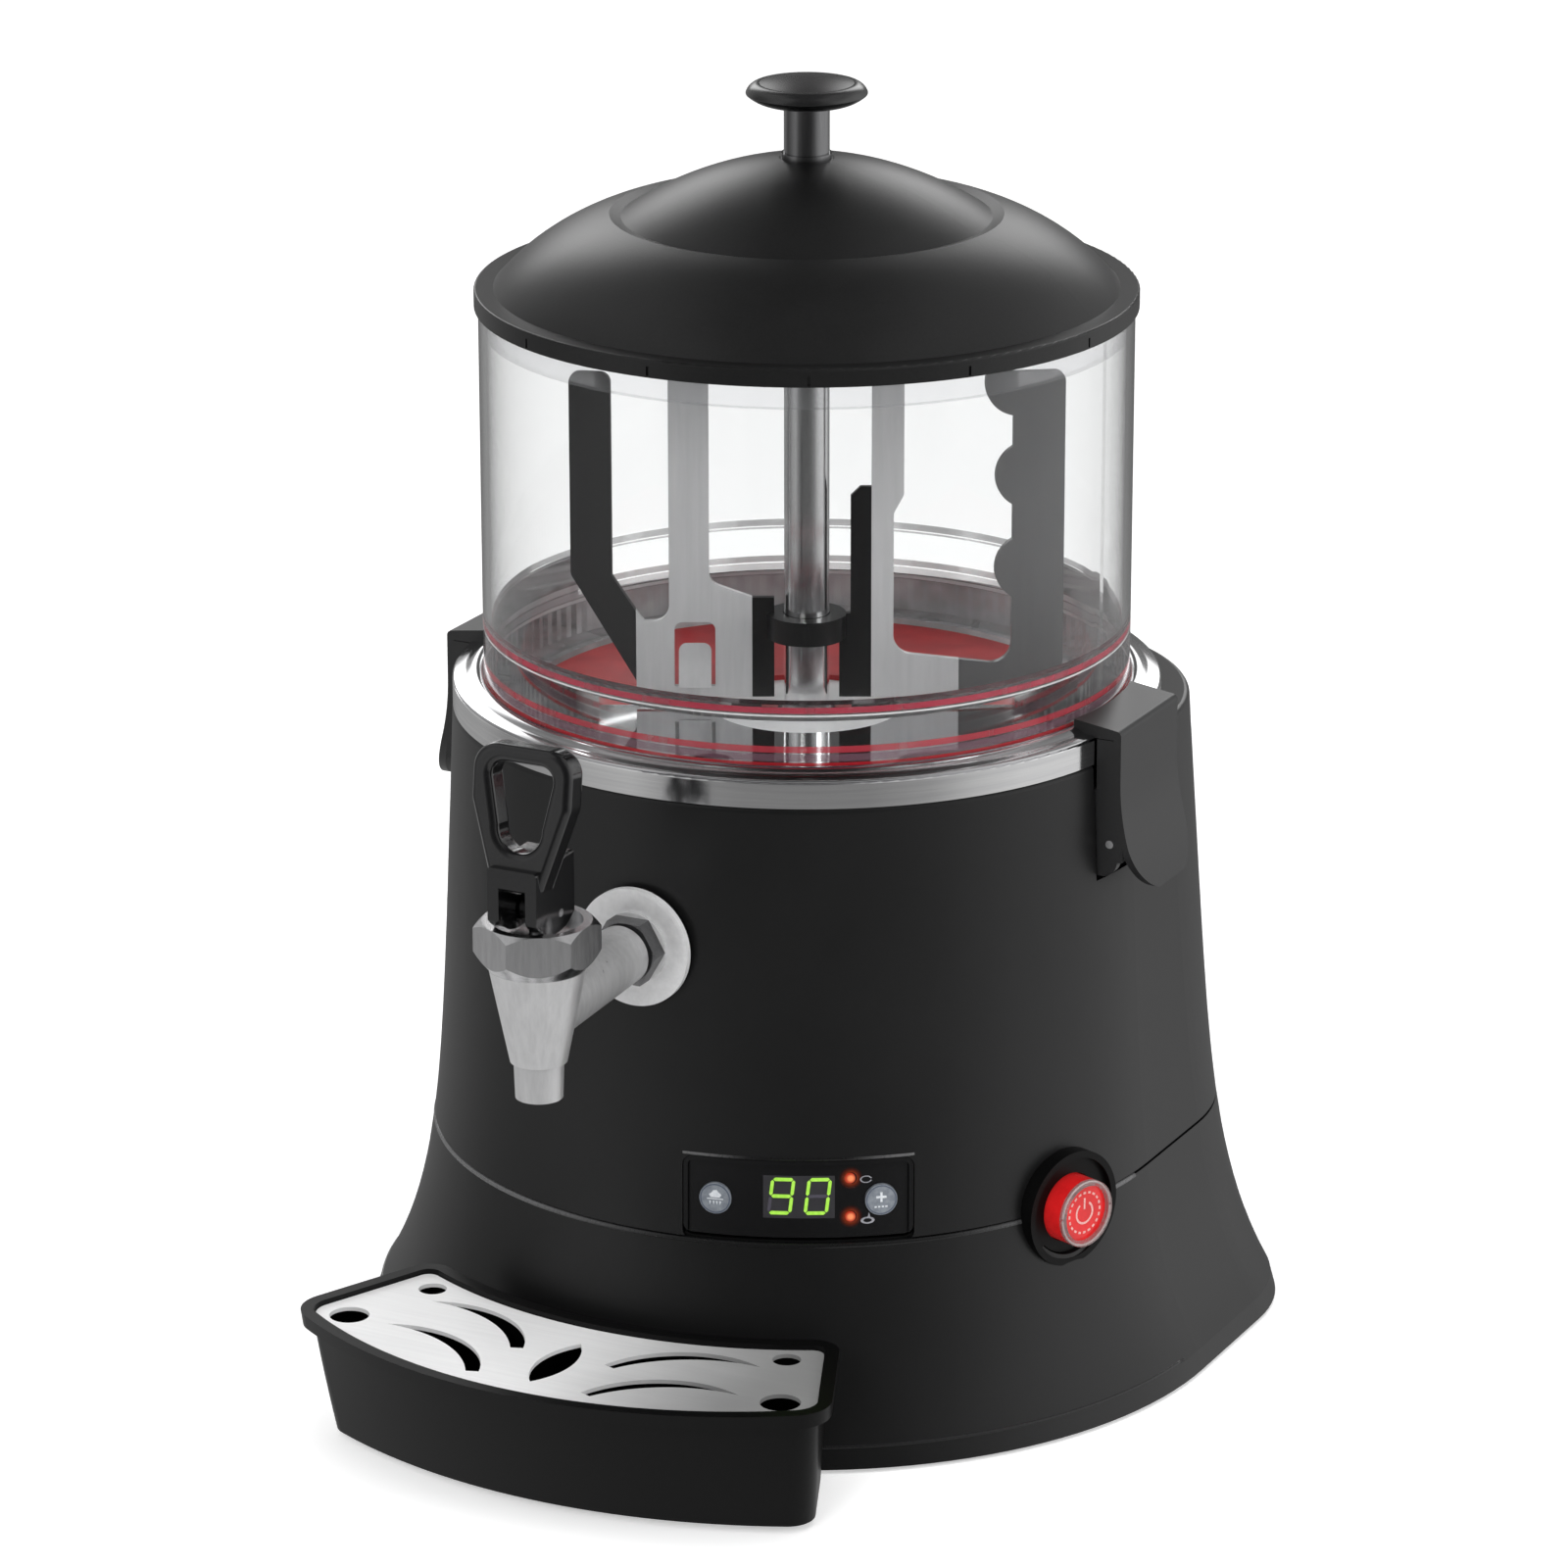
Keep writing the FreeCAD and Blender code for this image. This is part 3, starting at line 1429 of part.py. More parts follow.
def latch_wall(shift):
    """Edges of the latch's outer face in side view, from the top corner to the flared foot."""
    top = Vector(latch_face - shift, -latch_half, latch_face_top)
    bend = Vector(latch_face - shift, -latch_half, latch_curve_height)
    foot = Vector(latch_face + latch_flare - shift, -latch_half, latch_bottom)
    middle = Vector(latch_face + latch_flare_start - shift, -latch_half,
            (latch_curve_height + latch_bottom) / 2)
    return top, bend, foot, middle


def latch_hook():
    """Top plate that reaches over the rim and holds the bowl's gasket down."""
    tip_x = gasket_lip_radius - 2 * latch_edge_round
    points = [Vector(x, -latch_half, z) for x, z in (
        (tip_x, rim_top + latch_gap), (tip_x + latch_edge_round / 2, latch_tip_top),
            (latch_face, latch_face_top),
        (latch_face, rim_top + latch_gap))]
    return Part.Face(Part.makePolygon(points + points[:1])).extrude(Vector(0, latch_width, 0))


def latch_plate_form():
    """Outer plate, flared at its foot and rounded there for the fingers."""
    top, bend, foot, middle = latch_wall(0)
    inner_top, inner_bend, inner_foot, inner_middle = latch_wall(latch_plate)
    wire = Part.Wire([
        straight(top, bend), bow(bend, middle, foot), straight(foot, inner_foot),
        bow(inner_foot, inner_middle, inner_bend), straight(inner_bend, inner_top), straight(inner_top, top),
    ])
    plate = Part.Face(wire).extrude(Vector(0, latch_width, 0))
    shape = block(pocket_floor, 2 * deck_radius, -latch_half, latch_half, latch_bottom - cut_margin,
            latch_tip_top)
    corners = [edge for edge in shape.Edges if edge.BoundBox.ZMax < latch_bottom and edge.BoundBox.XLength > cut_margin]
    return plate.common(shape.makeFillet(latch_foot_corner, corners))


def latch_cheeks():
    """Two side walls with a rounded foot below the pin."""
    top, bend, _, middle = latch_wall(latch_plate / 2)
    low = Vector(middle.x, -latch_half, latch_cheek_low)
    heel = Vector(latch_lobe_x, -latch_half, latch_cheek_low)
    back_low = Vector(latch_cheek_x, -latch_half, latch_lobe_height)
    back_top = Vector(latch_cheek_x, -latch_half, rim_top)
    corners = [Vector(top.x, -latch_half, rim_top), bend, middle, low, heel, back_low, back_top]
    profile = Part.Face(Part.makePolygon(corners + corners[:1])).extrude(Vector(0, latch_width, 0))
    lobe = rod(latch_lobe_radius, Vector(latch_lobe_x, -latch_half, latch_lobe_height),
               Vector(latch_lobe_x, latch_half, latch_lobe_height))
    core_half = latch_half - latch_cheek
    return joined([profile, lobe]).cut(block(0, 2 * deck_radius, -core_half, core_half, pocket_low,
            latch_tip_top))


def right_latch():
    whole = joined([latch_hook(), latch_plate_form(), latch_cheeks()])
    long_edges = [edge for edge in whole.Edges
                  if edge.BoundBox.YLength > latch_width / 2 and edge.BoundBox.ZMin > latch_face_top - tiny
                  and edge.BoundBox.XMax > latch_face - tiny]
    whole = whole.makeFillet(latch_edge_round, long_edges)
    bowl_room = rod(gasket_lip_radius + latch_tip_gap, up * pocket_low, up * bowl_top)
    rim_room = rod(deck_radius + latch_rim_gap, up * (deck_height - rim_height), up * (rim_top + latch_gap))
    return whole.cut([bowl_room, rim_room, latch_rod(latch_pin_radius + running_clearance,
            latch_half + cut_margin)])


def latch_bracket():
    half = lug_width / 2
    bar = block(pocket_floor, pivot_x, -half, half, pivot_height - lug_radius, pivot_height + lug_radius)
    nose = latch_rod(lug_radius, half)
    return joined([bar, nose]).cut(latch_rod(latch_pin_radius, half + cut_margin))


# ---- control panel ----

def panel_bezel():
    frame = body_slice(panel_frame_inset, seam_height, deck_height).common(panel_prism(0, 0))
    frame = frame.cut(body_form(panel_back_inset))
    field_room = body_form(-overrun / 2).cut(body_form(panel_field_inset))
    field_room = field_room.common(panel_prism(-panel_frame_width, overrun))
    holes = [radial_rod(button_radius + button_clearance, azimuth, button_height, board_distance(),
            2 * deck_radius)
             for azimuth in button_azimuths()]
    holes += [radial_rod(lamp_radius, azimuth, height, board_distance(), 2 * deck_radius)
              for azimuth, height in lamp_places()]
    window = display_prism()
    return frame.cut([field_room, window] + holes)


def field_radius(height, inset):
    return half_width(height) - inset


def azimuth_of(side):
    return panel_azimuth + math.degrees(math.asin(side / half_width(button_height)))


def button_azimuths():
    return [azimuth_of(-button_side), azimuth_of(button_side)]


def lamp_places():
    return [(azimuth_of(lamp_side), lamp_height + side * lamp_spread / 2) for side in (-1, 1)]


def radial_rod(radius, azimuth, height, near, far):
    return rod(radius, out_at(azimuth, near, height), out_at(azimuth, far, height))


def display_prism():
    half = display_width / 2
    shape = block(display_shift - half, display_shift + half, -2 * deck_radius, -tank_radius,
                  display_height - display_tall / 2, display_height + display_tall / 2)
    return turned(shape, panel_azimuth)


def display_window():
    back = panel_field_inset + display_thickness
    return body_skin(panel_field_inset, back, seam_height, deck_height).common(display_prism())


def digit_bars(centre_x, lit):
    """Seven-segment bars, leaned to the right: top, upper and lower verticals, middle, bottom."""
    half_x = digit_wide / 2 - digit_stroke / 2
    half_z = digit_tall / 2 - digit_stroke / 2
    across = {"top": half_z, "middle": 0.0, "bottom": -half_z}
    upright = {"upper_left": (-half_x, 1), "upper_right": (half_x, 1),
               "lower_left": (-half_x, -1), "lower_right": (half_x, -1)}
    lean = math.tan(math.radians(digit_slant))
    bars = []
    for name in lit:
        if name in across:
            z = across[name]
            corners = [(digit_gap - half_x, z - digit_stroke / 2), (half_x - digit_gap, z - digit_stroke / 2),
                       (half_x - digit_gap, z + digit_stroke / 2), (digit_gap - half_x, z + digit_stroke / 2)]
        else:
            x, side = upright[name]
            low, high = sorted((side * digit_gap, side * (half_z - digit_end_gap)))
            corners = [(x - digit_stroke / 2, low), (x + digit_stroke / 2, low),
                       (x + digit_stroke / 2, high), (x - digit_stroke / 2, high)]
        points = [Vector(centre_x + x + z * lean, -2 * deck_radius, display_height + z) for x, z in corners]
        bars.append(Part.Face(Part.makePolygon(points + points[:1])).extrude(Vector(0, deck_radius, 0)))
    return bars


def display_digits():
    nine = ["top", "upper_left", "upper_right", "middle", "lower_right", "bottom"]
    zero = ["top", "upper_left", "upper_right", "lower_left", "lower_right", "bottom"]
    bars = digit_bars(display_shift - digit_pitch / 2, nine) + digit_bars(display_shift + digit_pitch / 2,
            zero)
    skin = body_skin(panel_field_inset - digit_thickness, panel_field_inset, seam_height, deck_height)
    solids = []
    for bar in bars:
        solids += turned(bar, panel_azimuth).common(skin).Solids
    return Part.makeCompound(solids)


def panel_lamps():
    lamps = []
    for azimuth, height in lamp_places():
        surface = field_radius(height, panel_field_inset)
        lamp = radial_rod(lamp_radius, azimuth, height, surface - board_thickness, surface + lamp_proud)
        lamps.append(lamp)
    return Part.makeCompound(lamps)


def panel_button(azimuth):
    face = field_radius(button_height, panel_field_inset) + button_proud
    button = radial_rod(button_radius, azimuth, button_height, face - button_length, face)
    return button


def board_distance():
    """Distance from the bowl axis to the back of the board behind the panel."""
    return half_width(button_height) - board_depth


def control_board():
    face = -board_distance()
    board = block(-board_width / 2, board_width / 2, face - board_thickness, face,
                  button_height - board_tall / 2, button_height + board_tall / 2)
    return turned(board, panel_azimuth)


# ---- power switch ----

def switch_bezel():
    flange = switch_rod(bezel_radius, -bezel_neck_depth, bezel_proud).cut(body_form(0))
    neck = switch_rod(bezel_neck_radius, -bezel_neck_depth, bezel_proud - bezel_dish_depth)
    dish = switch_rod(bezel_dish_radius, bezel_proud - bezel_dish_depth, bezel_proud)
    hole = switch_rod(power_radius + power_clearance, -switch_reach, switch_reach)
    return joined([flange, neck]).cut([dish, hole])


def power_button():
    return switch_rod(power_radius, -power_depth, power_proud)


def power_lens():
    outer = switch_rod(power_radius, power_proud, power_proud + lens_thickness)
    return outer.cut(switch_rod(power_radius - lens_width, power_proud, power_proud + lens_thickness))


def switch_body():
    face = -bezel_neck_depth
    return switch_rod(switch_body_radius, face - switch_body_length, face - switch_body_gap)


def switch_collar():
    face = -bezel_neck_depth
    outer = switch_rod(switch_body_radius, face - switch_body_gap, face)
    return outer.cut(switch_rod(power_radius + power_clearance, face - switch_body_gap, face))


def power_board():
    board = block(-power_board_width / 2, power_board_width / 2, power_board_y - power_board_depth / 2,
                  power_board_y + power_board_depth / 2, power_board_height,
                      power_board_height + board_thickness)
    base = power_board_height + board_thickness
    half = transformer_size / 2
    block_on_board = block(-power_board_width / 2 + board_post_radius,
            transformer_size - power_board_width / 2,
                           power_board_y - half, power_board_y + half, base, base + transformer_height)
    return joined([board, block_on_board])


def board_posts():
    posts = []
    for side in (-1, 1):
        for end in (-1, 1):
            point = Vector(side * (power_board_width / 2 - board_post_radius),
                           power_board_y + end * (power_board_depth / 2 - board_post_radius), 0)
            posts.append(rod(board_post_radius, point + up * floor_plate_top,
                    point + up * power_board_height))
    return Part.makeCompound(posts)


# ---- drip tray ----

@lru_cache(maxsize=None)
def tray_column(inset):
    """Tray outline, a little taller than the tray: bulging front, slanting sides, hollow back."""
    low = tray_lift - cut_margin
    high = tray_rim_height + cut_margin
    span = tray_rim_height - tray_lift
    slope = (tray_front_half - tray_back_half) / (tray_front_y - tray_back_y)
    shift = inset * math.sqrt(1 + slope ** 2)
    near_y = tray_back_y + tray_back_corner * 2
    far_y = tray_front_centre - tray_front_radius - tray_back_corner
    wires = []
    for height in (low, high):
        taper = tray_side_taper * (tray_rim_height - height) / span + shift
        near_x = tray_back_half + slope * (near_y - tray_back_y) - taper
        far_x = tray_back_half + slope * (far_y - tray_back_y) - taper
        corners = [Vector(near_x, near_y, height), Vector(far_x, far_y, height),
                   Vector(-far_x, far_y, height), Vector(-near_x, near_y, height)]
        wires.append(Part.makePolygon(corners + corners[:1]))
    wedge = Part.makeLoft(wires, True, True)
    front = Part.makeLoft([tray_front_circle(low, inset), tray_front_circle(high, inset)], True, True)
    back = Part.makeCone(tray_back_at(low) + inset, tray_back_at(high) + inset, high - low, up * low)
    form = wedge.common(front).cut(back)
    form = form.makeFillet(tray_back_corner - inset, tray_corner_edges(form, False))
    return form.makeFillet(tray_front_corner - inset, tray_corner_edges(form, True))


def tray_front_circle(height, inset):
    """Outline of the bulging front, which retreats and grows flatter towards the tray's floor."""
    fall = (tray_rim_height - height) / (tray_rim_height - tray_lift)
    centre_y = tray_front_centre + (tray_front_taper + tray_front_flattening) * fall
    radius = tray_front_radius + tray_front_flattening * fall - inset
    return Part.Wire(Part.makeCircle(radius, Vector(0, centre_y, height)))


def tray_back_at(height):
    """Radius of the tray's hollow back, which leans with the flare of the housing."""
    top = half_width(tray_rim_height) + tray_back_gap
    low = half_width(tray_lift) + tray_back_low_gap
    return top + (low - top) * (tray_rim_height - height) / (tray_rim_height - tray_lift)


def tray_corner_edges(form, at_front):
    steep = [edge for edge in form.Edges if edge.BoundBox.ZLength > tray_rim_height - tray_lift]
    middle = (tray_front_y + tray_back_y) / 2
    return [edge for edge in steep if (edge.BoundBox.Center.y < middle) == at_front]


def tray_form(inset, low, high):
    return tray_column(inset).common(slab(low, high))


def ledge_top():
    return tray_rim_height - grille_drop - grille_thickness


def drip_tray():
    wall_inset = tray_lip_overhang
    lip = tray_form(0, tray_rim_height - tray_lip_height, tray_rim_height)
    outer = joined([lip, tray_form(wall_inset, tray_lift, tray_rim_height - tray_lip_height / 2)])
    top = tray_rim_height + cut_margin
    recess = tray_form(tray_rim_width, ledge_top(), top)
    throat = tray_form(tray_rim_width + tray_ledge_width, ledge_top() - tray_ledge_height, top)
    basin_inset = wall_inset + tray_wall
    basin = tray_form(basin_inset, tray_lift + tray_floor, ledge_top() - tray_ledge_height)
    tray = outer.cut([recess, throat, basin])
    inner_x = (tongue_bar_spread - tongue_bar_width) / 2
    back_radius = tray_back_at(tongue_bar_low) + wall_inset + tray_wall / 2
    bar_end = -math.sqrt(back_radius ** 2 - inner_x ** 2)
    bars = tongue_bars(0, bar_end + tongue_bar_depth, bar_end)
    return joined([tray] + [bar.cut(basin) for bar in bars])


def crescent(shift_x, shift_y):
    """Horn-shaped slot: blunt at its inner end, pointed at its outer end."""
    low = ledge_top() - cut_margin
    start = Vector(crescent_inner_x - crescent_blunt / 2 + shift_x, crescent_inner_y + shift_y, low)
    finish = start + Vector(crescent_blunt, -crescent_blunt_fall, 0)
    end = Vector(crescent_outer_x + shift_x, crescent_outer_y + shift_y, low)
    outer = Vector(crescent_mid_x + shift_x, crescent_mid_y + shift_y, low)
    inner = outer + Vector(crescent_depth_shift, -crescent_depth, 0)
    wire = Part.Wire([bow(start, outer, end), bow(end, inner, finish), straight(finish, start)])
    return Part.Face(wire).extrude(up * (grille_thickness + 2 * cut_margin))


def eye_slot():
    low = ledge_top() - cut_margin
    near = Vector(0, eye_slot_y + eye_slot_half_length, low)
    far = Vector(0, eye_slot_y - eye_slot_half_length, low)
    right = Vector(eye_slot_half_width, eye_slot_y, low)
    left = Vector(-eye_slot_half_width, eye_slot_y, low)
    return Part.Face(Part.Wire([bow(near, right, far),
            bow(far, left, near)])).extrude(up * (grille_thickness + 2 * cut_margin))


def drip_grille():
    plate = tray_form(tray_rim_width + grille_gap, ledge_top(), ledge_top() + grille_thickness)
    row_y = crescent_row_shift_y
    slots = [eye_slot(), crescent(0, 0), crescent(crescent_row_shift_x, row_y)]
    slots += [mirrored(slot) for slot in slots[1:]]
    for side in (-1, 1):
        for radius, x, y in ((small_hole_radius, small_hole_x, small_hole_y),
                             (large_hole_radius, large_hole_x, large_hole_y)):
            point = Vector(side * x, y, ledge_top() - cut_margin)
            slots.append(rod(radius, point, point + up * (grille_thickness + 2 * cut_margin)))
    return plate.cut(slots)


# ---- all pieces ----

def main():
    os.makedirs("parts", exist_ok=True)
    left_azimuth, right_azimuth = button_azimuths()
    latch = right_latch()
    bracket = latch_bracket()
    hinge_pin = latch_rod(latch_pin_radius, latch_half)
    pieces = {
        "base_shell": base_shell(), "upper_shell": upper_shell(), "bottom_plate": bottom_plate(),
        "feet": feet(), "base_screws": base_screws(), "power_inlet": power_inlet(),
            "inlet_pins": inlet_pins(),
        "bowl_base": bowl_base(), "water_tank": water_tank(), "heating_element": heating_element(),
        "temperature_probe": temperature_probe(), "standpipe": standpipe(), "shaft_bushes": shaft_bushes(),
        "outlet_elbow": outlet_elbow(), "bowl_wall": bowl_wall(), "bowl_gasket": bowl_gasket(),
        "floor_seal": floor_seal(), "gearbox": gearbox(), "motor": motor(), "motor_bracket": motor_bracket(),
        "motor_standoffs": motor_standoffs(), "drive_shaft": drive_shaft(), "mixer_paddle": mixer_paddle(),
        "mixer_cap": mixer_cap(), "lid_shell": lid_shell(), "lid_ring": lid_ring(), "lid_stem": lid_stem(),
        "lid_knob": lid_knob(), "knob_screw": knob_screw(), "tap_body": tap_body(), "tap_shank": tap_shank(),
        "tap_gasket": tap_gasket(), "tap_flange": tap_flange(), "tap_nut": tap_nut(),
        "tap_lock_nut": tap_lock_nut(), "tap_bonnet": tap_bonnet(), "tap_stem": tap_stem(),
        "tap_seat": tap_seat(), "tap_pin": tap_pin(), "tap_handle": tap_handle(),
        "right_latch": latch, "left_latch": mirrored(latch),
        "latch_brackets": Part.makeCompound([bracket, mirrored(bracket)]),
        "latch_pins": Part.makeCompound([hinge_pin, mirrored(hinge_pin)]),
        "panel_bezel": panel_bezel(), "display_window": display_window(), "display_digits": display_digits(),
        "panel_lamps": panel_lamps(), "left_button": panel_button(left_azimuth),
        "right_button": panel_button(right_azimuth), "control_board": control_board(),
        "switch_bezel": switch_bezel(), "power_button": power_button(), "power_lens": power_lens(),
        "switch_body": joined([switch_body(), switch_collar()]), "power_board": power_board(),
        "board_posts": board_posts(), "drip_tray": drip_tray(), "drip_grille": drip_grille(),
    }
    for name, shape in pieces.items():
        save(name, shape)
        print(name, "solids", len(shape.Solids), "valid", shape.isValid(), "volume", round(shape.Volume))


main()
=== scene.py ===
import bpy
import bmesh
import math
from mathutils import Matrix, Vector


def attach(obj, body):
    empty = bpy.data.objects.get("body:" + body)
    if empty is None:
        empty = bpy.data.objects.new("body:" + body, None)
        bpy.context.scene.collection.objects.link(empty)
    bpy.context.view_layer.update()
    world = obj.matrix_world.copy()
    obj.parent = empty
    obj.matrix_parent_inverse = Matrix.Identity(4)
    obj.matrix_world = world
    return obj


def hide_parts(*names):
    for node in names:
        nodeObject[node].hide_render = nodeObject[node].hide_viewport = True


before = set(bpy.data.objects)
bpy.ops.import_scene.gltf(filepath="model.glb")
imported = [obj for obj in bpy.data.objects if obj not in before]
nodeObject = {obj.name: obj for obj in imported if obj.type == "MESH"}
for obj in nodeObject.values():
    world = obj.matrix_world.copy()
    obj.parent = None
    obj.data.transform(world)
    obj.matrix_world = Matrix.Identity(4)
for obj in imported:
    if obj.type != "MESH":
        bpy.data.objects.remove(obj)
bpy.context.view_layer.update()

mm = 0.001
print("loaded", len(nodeObject), "nodes")


# camera, lights and backdrop

camera = {"place": (1.0471, -2.0864, 0.9843), "tiltDown": 18.473, "turn": 26.65, "lens": 153.01,
          "sensor": 36.0, "shiftX": -0.01456, "farthest": 50.0}

studio = {
    "floorSize": 14.0, "floorColor": (0.84, 0.84, 0.84), "floorGlow": 0.46, "floorGrain": 0.01,
    "floorGrainScale": 900.0,
    # the far floor glows more: from and to this far from the middle in m, and by how much
    "farGlow": (1.0, 5.0, 0.30),
    "ambient": 0.50,
    # how bright the room looks in a shiny surface, by the bearing from the viewer's side in degrees
    "room": [(-180, 0.10), (-158, 0.40), (-128, 0.40), (-111, 0.20), (-90, 0.30), (-75, 0.50), (-58, 0.60),
             (-40, 0.20), (-20, 0.08), (0, 0.06), (20, 0.08), (40, 0.25), (56, 0.60), (74, 0.85), (90, 0.90),
             (116, 0.90), (150, 0.30), (180, 0.10)],
    "roomFront": (0.4485, -0.8938), "ceiling": 0.10, "ground": 0.55,
    # slopes at which the walls darken, the upper room, its crown and the ground come in
    "lowSlope": (0.12, 0.33), "upperSlope": (0.45, 0.70), "crownSlope": (0.90, 0.97),
    "groundSlope": (0.22, 0.50), "lowTurn": (-30, 30), "lowLeft": 0.42, "lowRight": 0.30,
    "ceilingSide": 0.38, "ceilingBearing": (22, 48, 120, 165),
    "windowGlow": 2.6, "windowBearing": (150, 158, 170, 177), "windowHeight": (0.15, 0.24, 0.55, 0.68),
    "lamps": [
        # name, place, aim, width, height, watts
        ("rightPanel", (2.3, 0.15, 0.75), (0.0, 0.0, 0.2), 0.9, 1.7, 20.0),
        ("leftPanel", (-2.1, -0.1, 0.7), (0.0, 0.0, 0.25), 0.45, 1.6, 9.0),
        ("topPanel", (0.2, -0.1, 2.3), (0.0, 0.0, 0.2), 1.8, 1.8, 22.0),
        ("frontPanel", (0.2, -2.6, 1.7), (0.0, 0.0, 0.1), 0.8, 0.8, 20.0),
    ],
}


def makeCamera():
    data = bpy.data.cameras.new("viewCamera")
    data.lens = camera["lens"]
    data.sensor_width = camera["sensor"]
    data.shift_x = camera["shiftX"]
    data.clip_end = camera["farthest"]
    item = bpy.data.objects.new("viewCamera", data)
    item.location = camera["place"]
    item.rotation_euler = (math.radians(90 - camera["tiltDown"]), 0.0, math.radians(camera["turn"]))
    bpy.context.scene.collection.objects.link(item)
    bpy.context.scene.camera = item


def makeLamps():
    for name, place, aim, width, height, watts in studio["lamps"]:
        data = bpy.data.lights.new(name, "AREA")
        data.shape = "RECTANGLE"
        data.size = width
        data.size_y = height
        data.energy = watts
        item = bpy.data.objects.new(name, data)
        item.location = place
        item.rotation_euler = (Vector(aim) - Vector(place)).to_track_quat("-Z", "Y").to_euler()
        item.visible_glossy = False  # shiny pieces mirror the world's room instead
        bpy.context.scene.collection.objects.link(item)


# shader writing: a Wire is one output socket that takes part in sums, a Paint is one material

class Wire:
    def __init__(self, paint, socket):
        self.paint = paint
        self.socket = socket

    def sum(self, operation, other, flipped=False):
        first, second = (other, self) if flipped else (self, other)
        return self.paint.node("ShaderNodeMath", {"operation": operation}, {0: first, 1: second})

    def __add__(self, other):
        return self.sum("ADD", other)

    def __radd__(self, other):
        return self.sum("ADD", other, True)

    def __sub__(self, other):
        return self.sum("SUBTRACT", other)

    def __rsub__(self, other):
        return self.sum("SUBTRACT", other, True)

    def __mul__(self, other):
        return self.sum("MULTIPLY", other)

    def __rmul__(self, other):
        return self.sum("MULTIPLY", other, True)

    def __truediv__(self, other):
        return self.sum("DIVIDE", other)

    def __pow__(self, other):
        return self.sum("POWER", other)

    def above(self, other):
        return self.sum("GREATER_THAN", other)

    def least(self, other):
        return self.sum("MINIMUM", other)

    def most(self, other):
        return self.sum("MAXIMUM", other)

    def size(self):
        return self.paint.node("ShaderNodeMath", {"operation": "ABSOLUTE"}, {0: self})

    def root(self):
        return self.paint.node("ShaderNodeMath", {"operation": "SQRT"}, {0: self})

    def band(self, rise, full, drop, gone):
        return self.ramp(rise, full) * (1.0 - self.ramp(drop, gone))

    def ramp(self, low, high, toLow=0.0, toHigh=1.0):
        return self.paint.node("ShaderNodeMapRange", {"interpolation_type": "SMOOTHSTEP"},
                               {"Value": self, "From Min": low, "From Max": high, "To Min": toLow,
                                "To Max": toHigh})


class Paint:
    def __init__(self, tree):
        self.tree = tree
        self.tree.nodes.clear()

    def node(self, kind, settings=None, inputs=None, out=0):
        made = self.tree.nodes.new(kind)
        for name, value in (settings or {}).items():
            if name == "stops":
                while len(made.color_ramp.elements) < len(value):
                    made.color_ramp.elements.new(1.0)
                for element, (position, level) in zip(made.color_ramp.elements, value):
                    element.position = position
                    element.color = (level, level, level, 1.0)
            else:
                setattr(made, name, value)
        for name, value in (inputs or {}).items():
            self.feed(made.inputs[name], value)
        return Wire(self, made.outputs[out]) if len(made.outputs) else None

    def feed(self, socket, value):
        if isinstance(value, Wire):
            self.tree.links.new(value.socket, socket)
        elif isinstance(value, (tuple, list)) and len(value) == 3 and len(socket.default_value) == 4:
            socket.default_value = (*value, 1.0)
        else:
            socket.default_value = value

    def point(self):
        return self.node("ShaderNodeTexCoord", out="Object")

    def noise(self, scale, detail=3.0, rough=0.5, where=None, stretch=None):
        where = where or self.point()
        if stretch:
            where = self.node("ShaderNodeMapping", None, {"Vector": where, "Scale": stretch})
        return self.node("ShaderNodeTexNoise", None,
                         {"Vector": where, "Scale": scale, "Detail": detail, "Roughness": rough}, "Fac")

    def cells(self, scale):
        return self.node("ShaderNodeTexVoronoi", {"feature": "F1"}, {"Vector": self.point(), "Scale": scale},
                         "Distance")

    def turned(self, degrees):
        return self.node("ShaderNodeMapping", {"vector_type": "POINT"},
                         {"Vector": self.point(), "Rotation": (0.0, 0.0, math.radians(-degrees))})

    def rayKinds(self, *kinds):
        made = self.node("ShaderNodeLightPath")
        return [Wire(self, made.socket.node.outputs[kind]) for kind in kinds]

    def clear(self, color=(1.0, 1.0, 1.0)):
        return self.node("ShaderNodeBsdfTransparent", None, {"Color": color})

    def blend(self, factor, first, second):
        return self.node("ShaderNodeMixShader", None, {0: factor, 1: first, 2: second})

    def finish(self, shader):
        self.node("ShaderNodeOutputMaterial", None, {"Surface": shader})

    def axes(self, where=None):
        made = self.node("ShaderNodeSeparateXYZ", None, {0: where or self.point()})
        return [Wire(self, socket) for socket in made.socket.node.outputs]

    def mix(self, factor, first, second):
        return self.node("ShaderNodeMix", {"data_type": "RGBA"}, {0: factor, 6: first, 7: second}, 2)

    def bump(self, height, strength, distance):
        return self.node("ShaderNodeBump", None,
                         {"Height": height, "Strength": strength, "Distance": distance})

    def shaded(self, **sockets):
        inputs = {socketNames[key]: value for key, value in sockets.items()}
        return self.node("ShaderNodeBsdfPrincipled", None, inputs)

    def surface(self, **sockets):
        self.finish(self.shaded(**sockets))


socketNames = {
    "color": "Base Color", "metal": "Metallic", "rough": "Roughness", "normal": "Normal",
    "specular": "Specular IOR Level", "coat": "Coat Weight", "coatRough": "Coat Roughness",
    "glow": "Emission Color", "glowStrength": "Emission Strength", "scatter": "Subsurface Weight",
    "scatterRadius": "Subsurface Radius", "scatterScale": "Subsurface Scale",
    "through": "Transmission Weight", "ior": "IOR",
}


def newPaint(name):
    material = bpy.data.materials.new(name)
    material.use_nodes = True
    return material, Paint(material.node_tree)


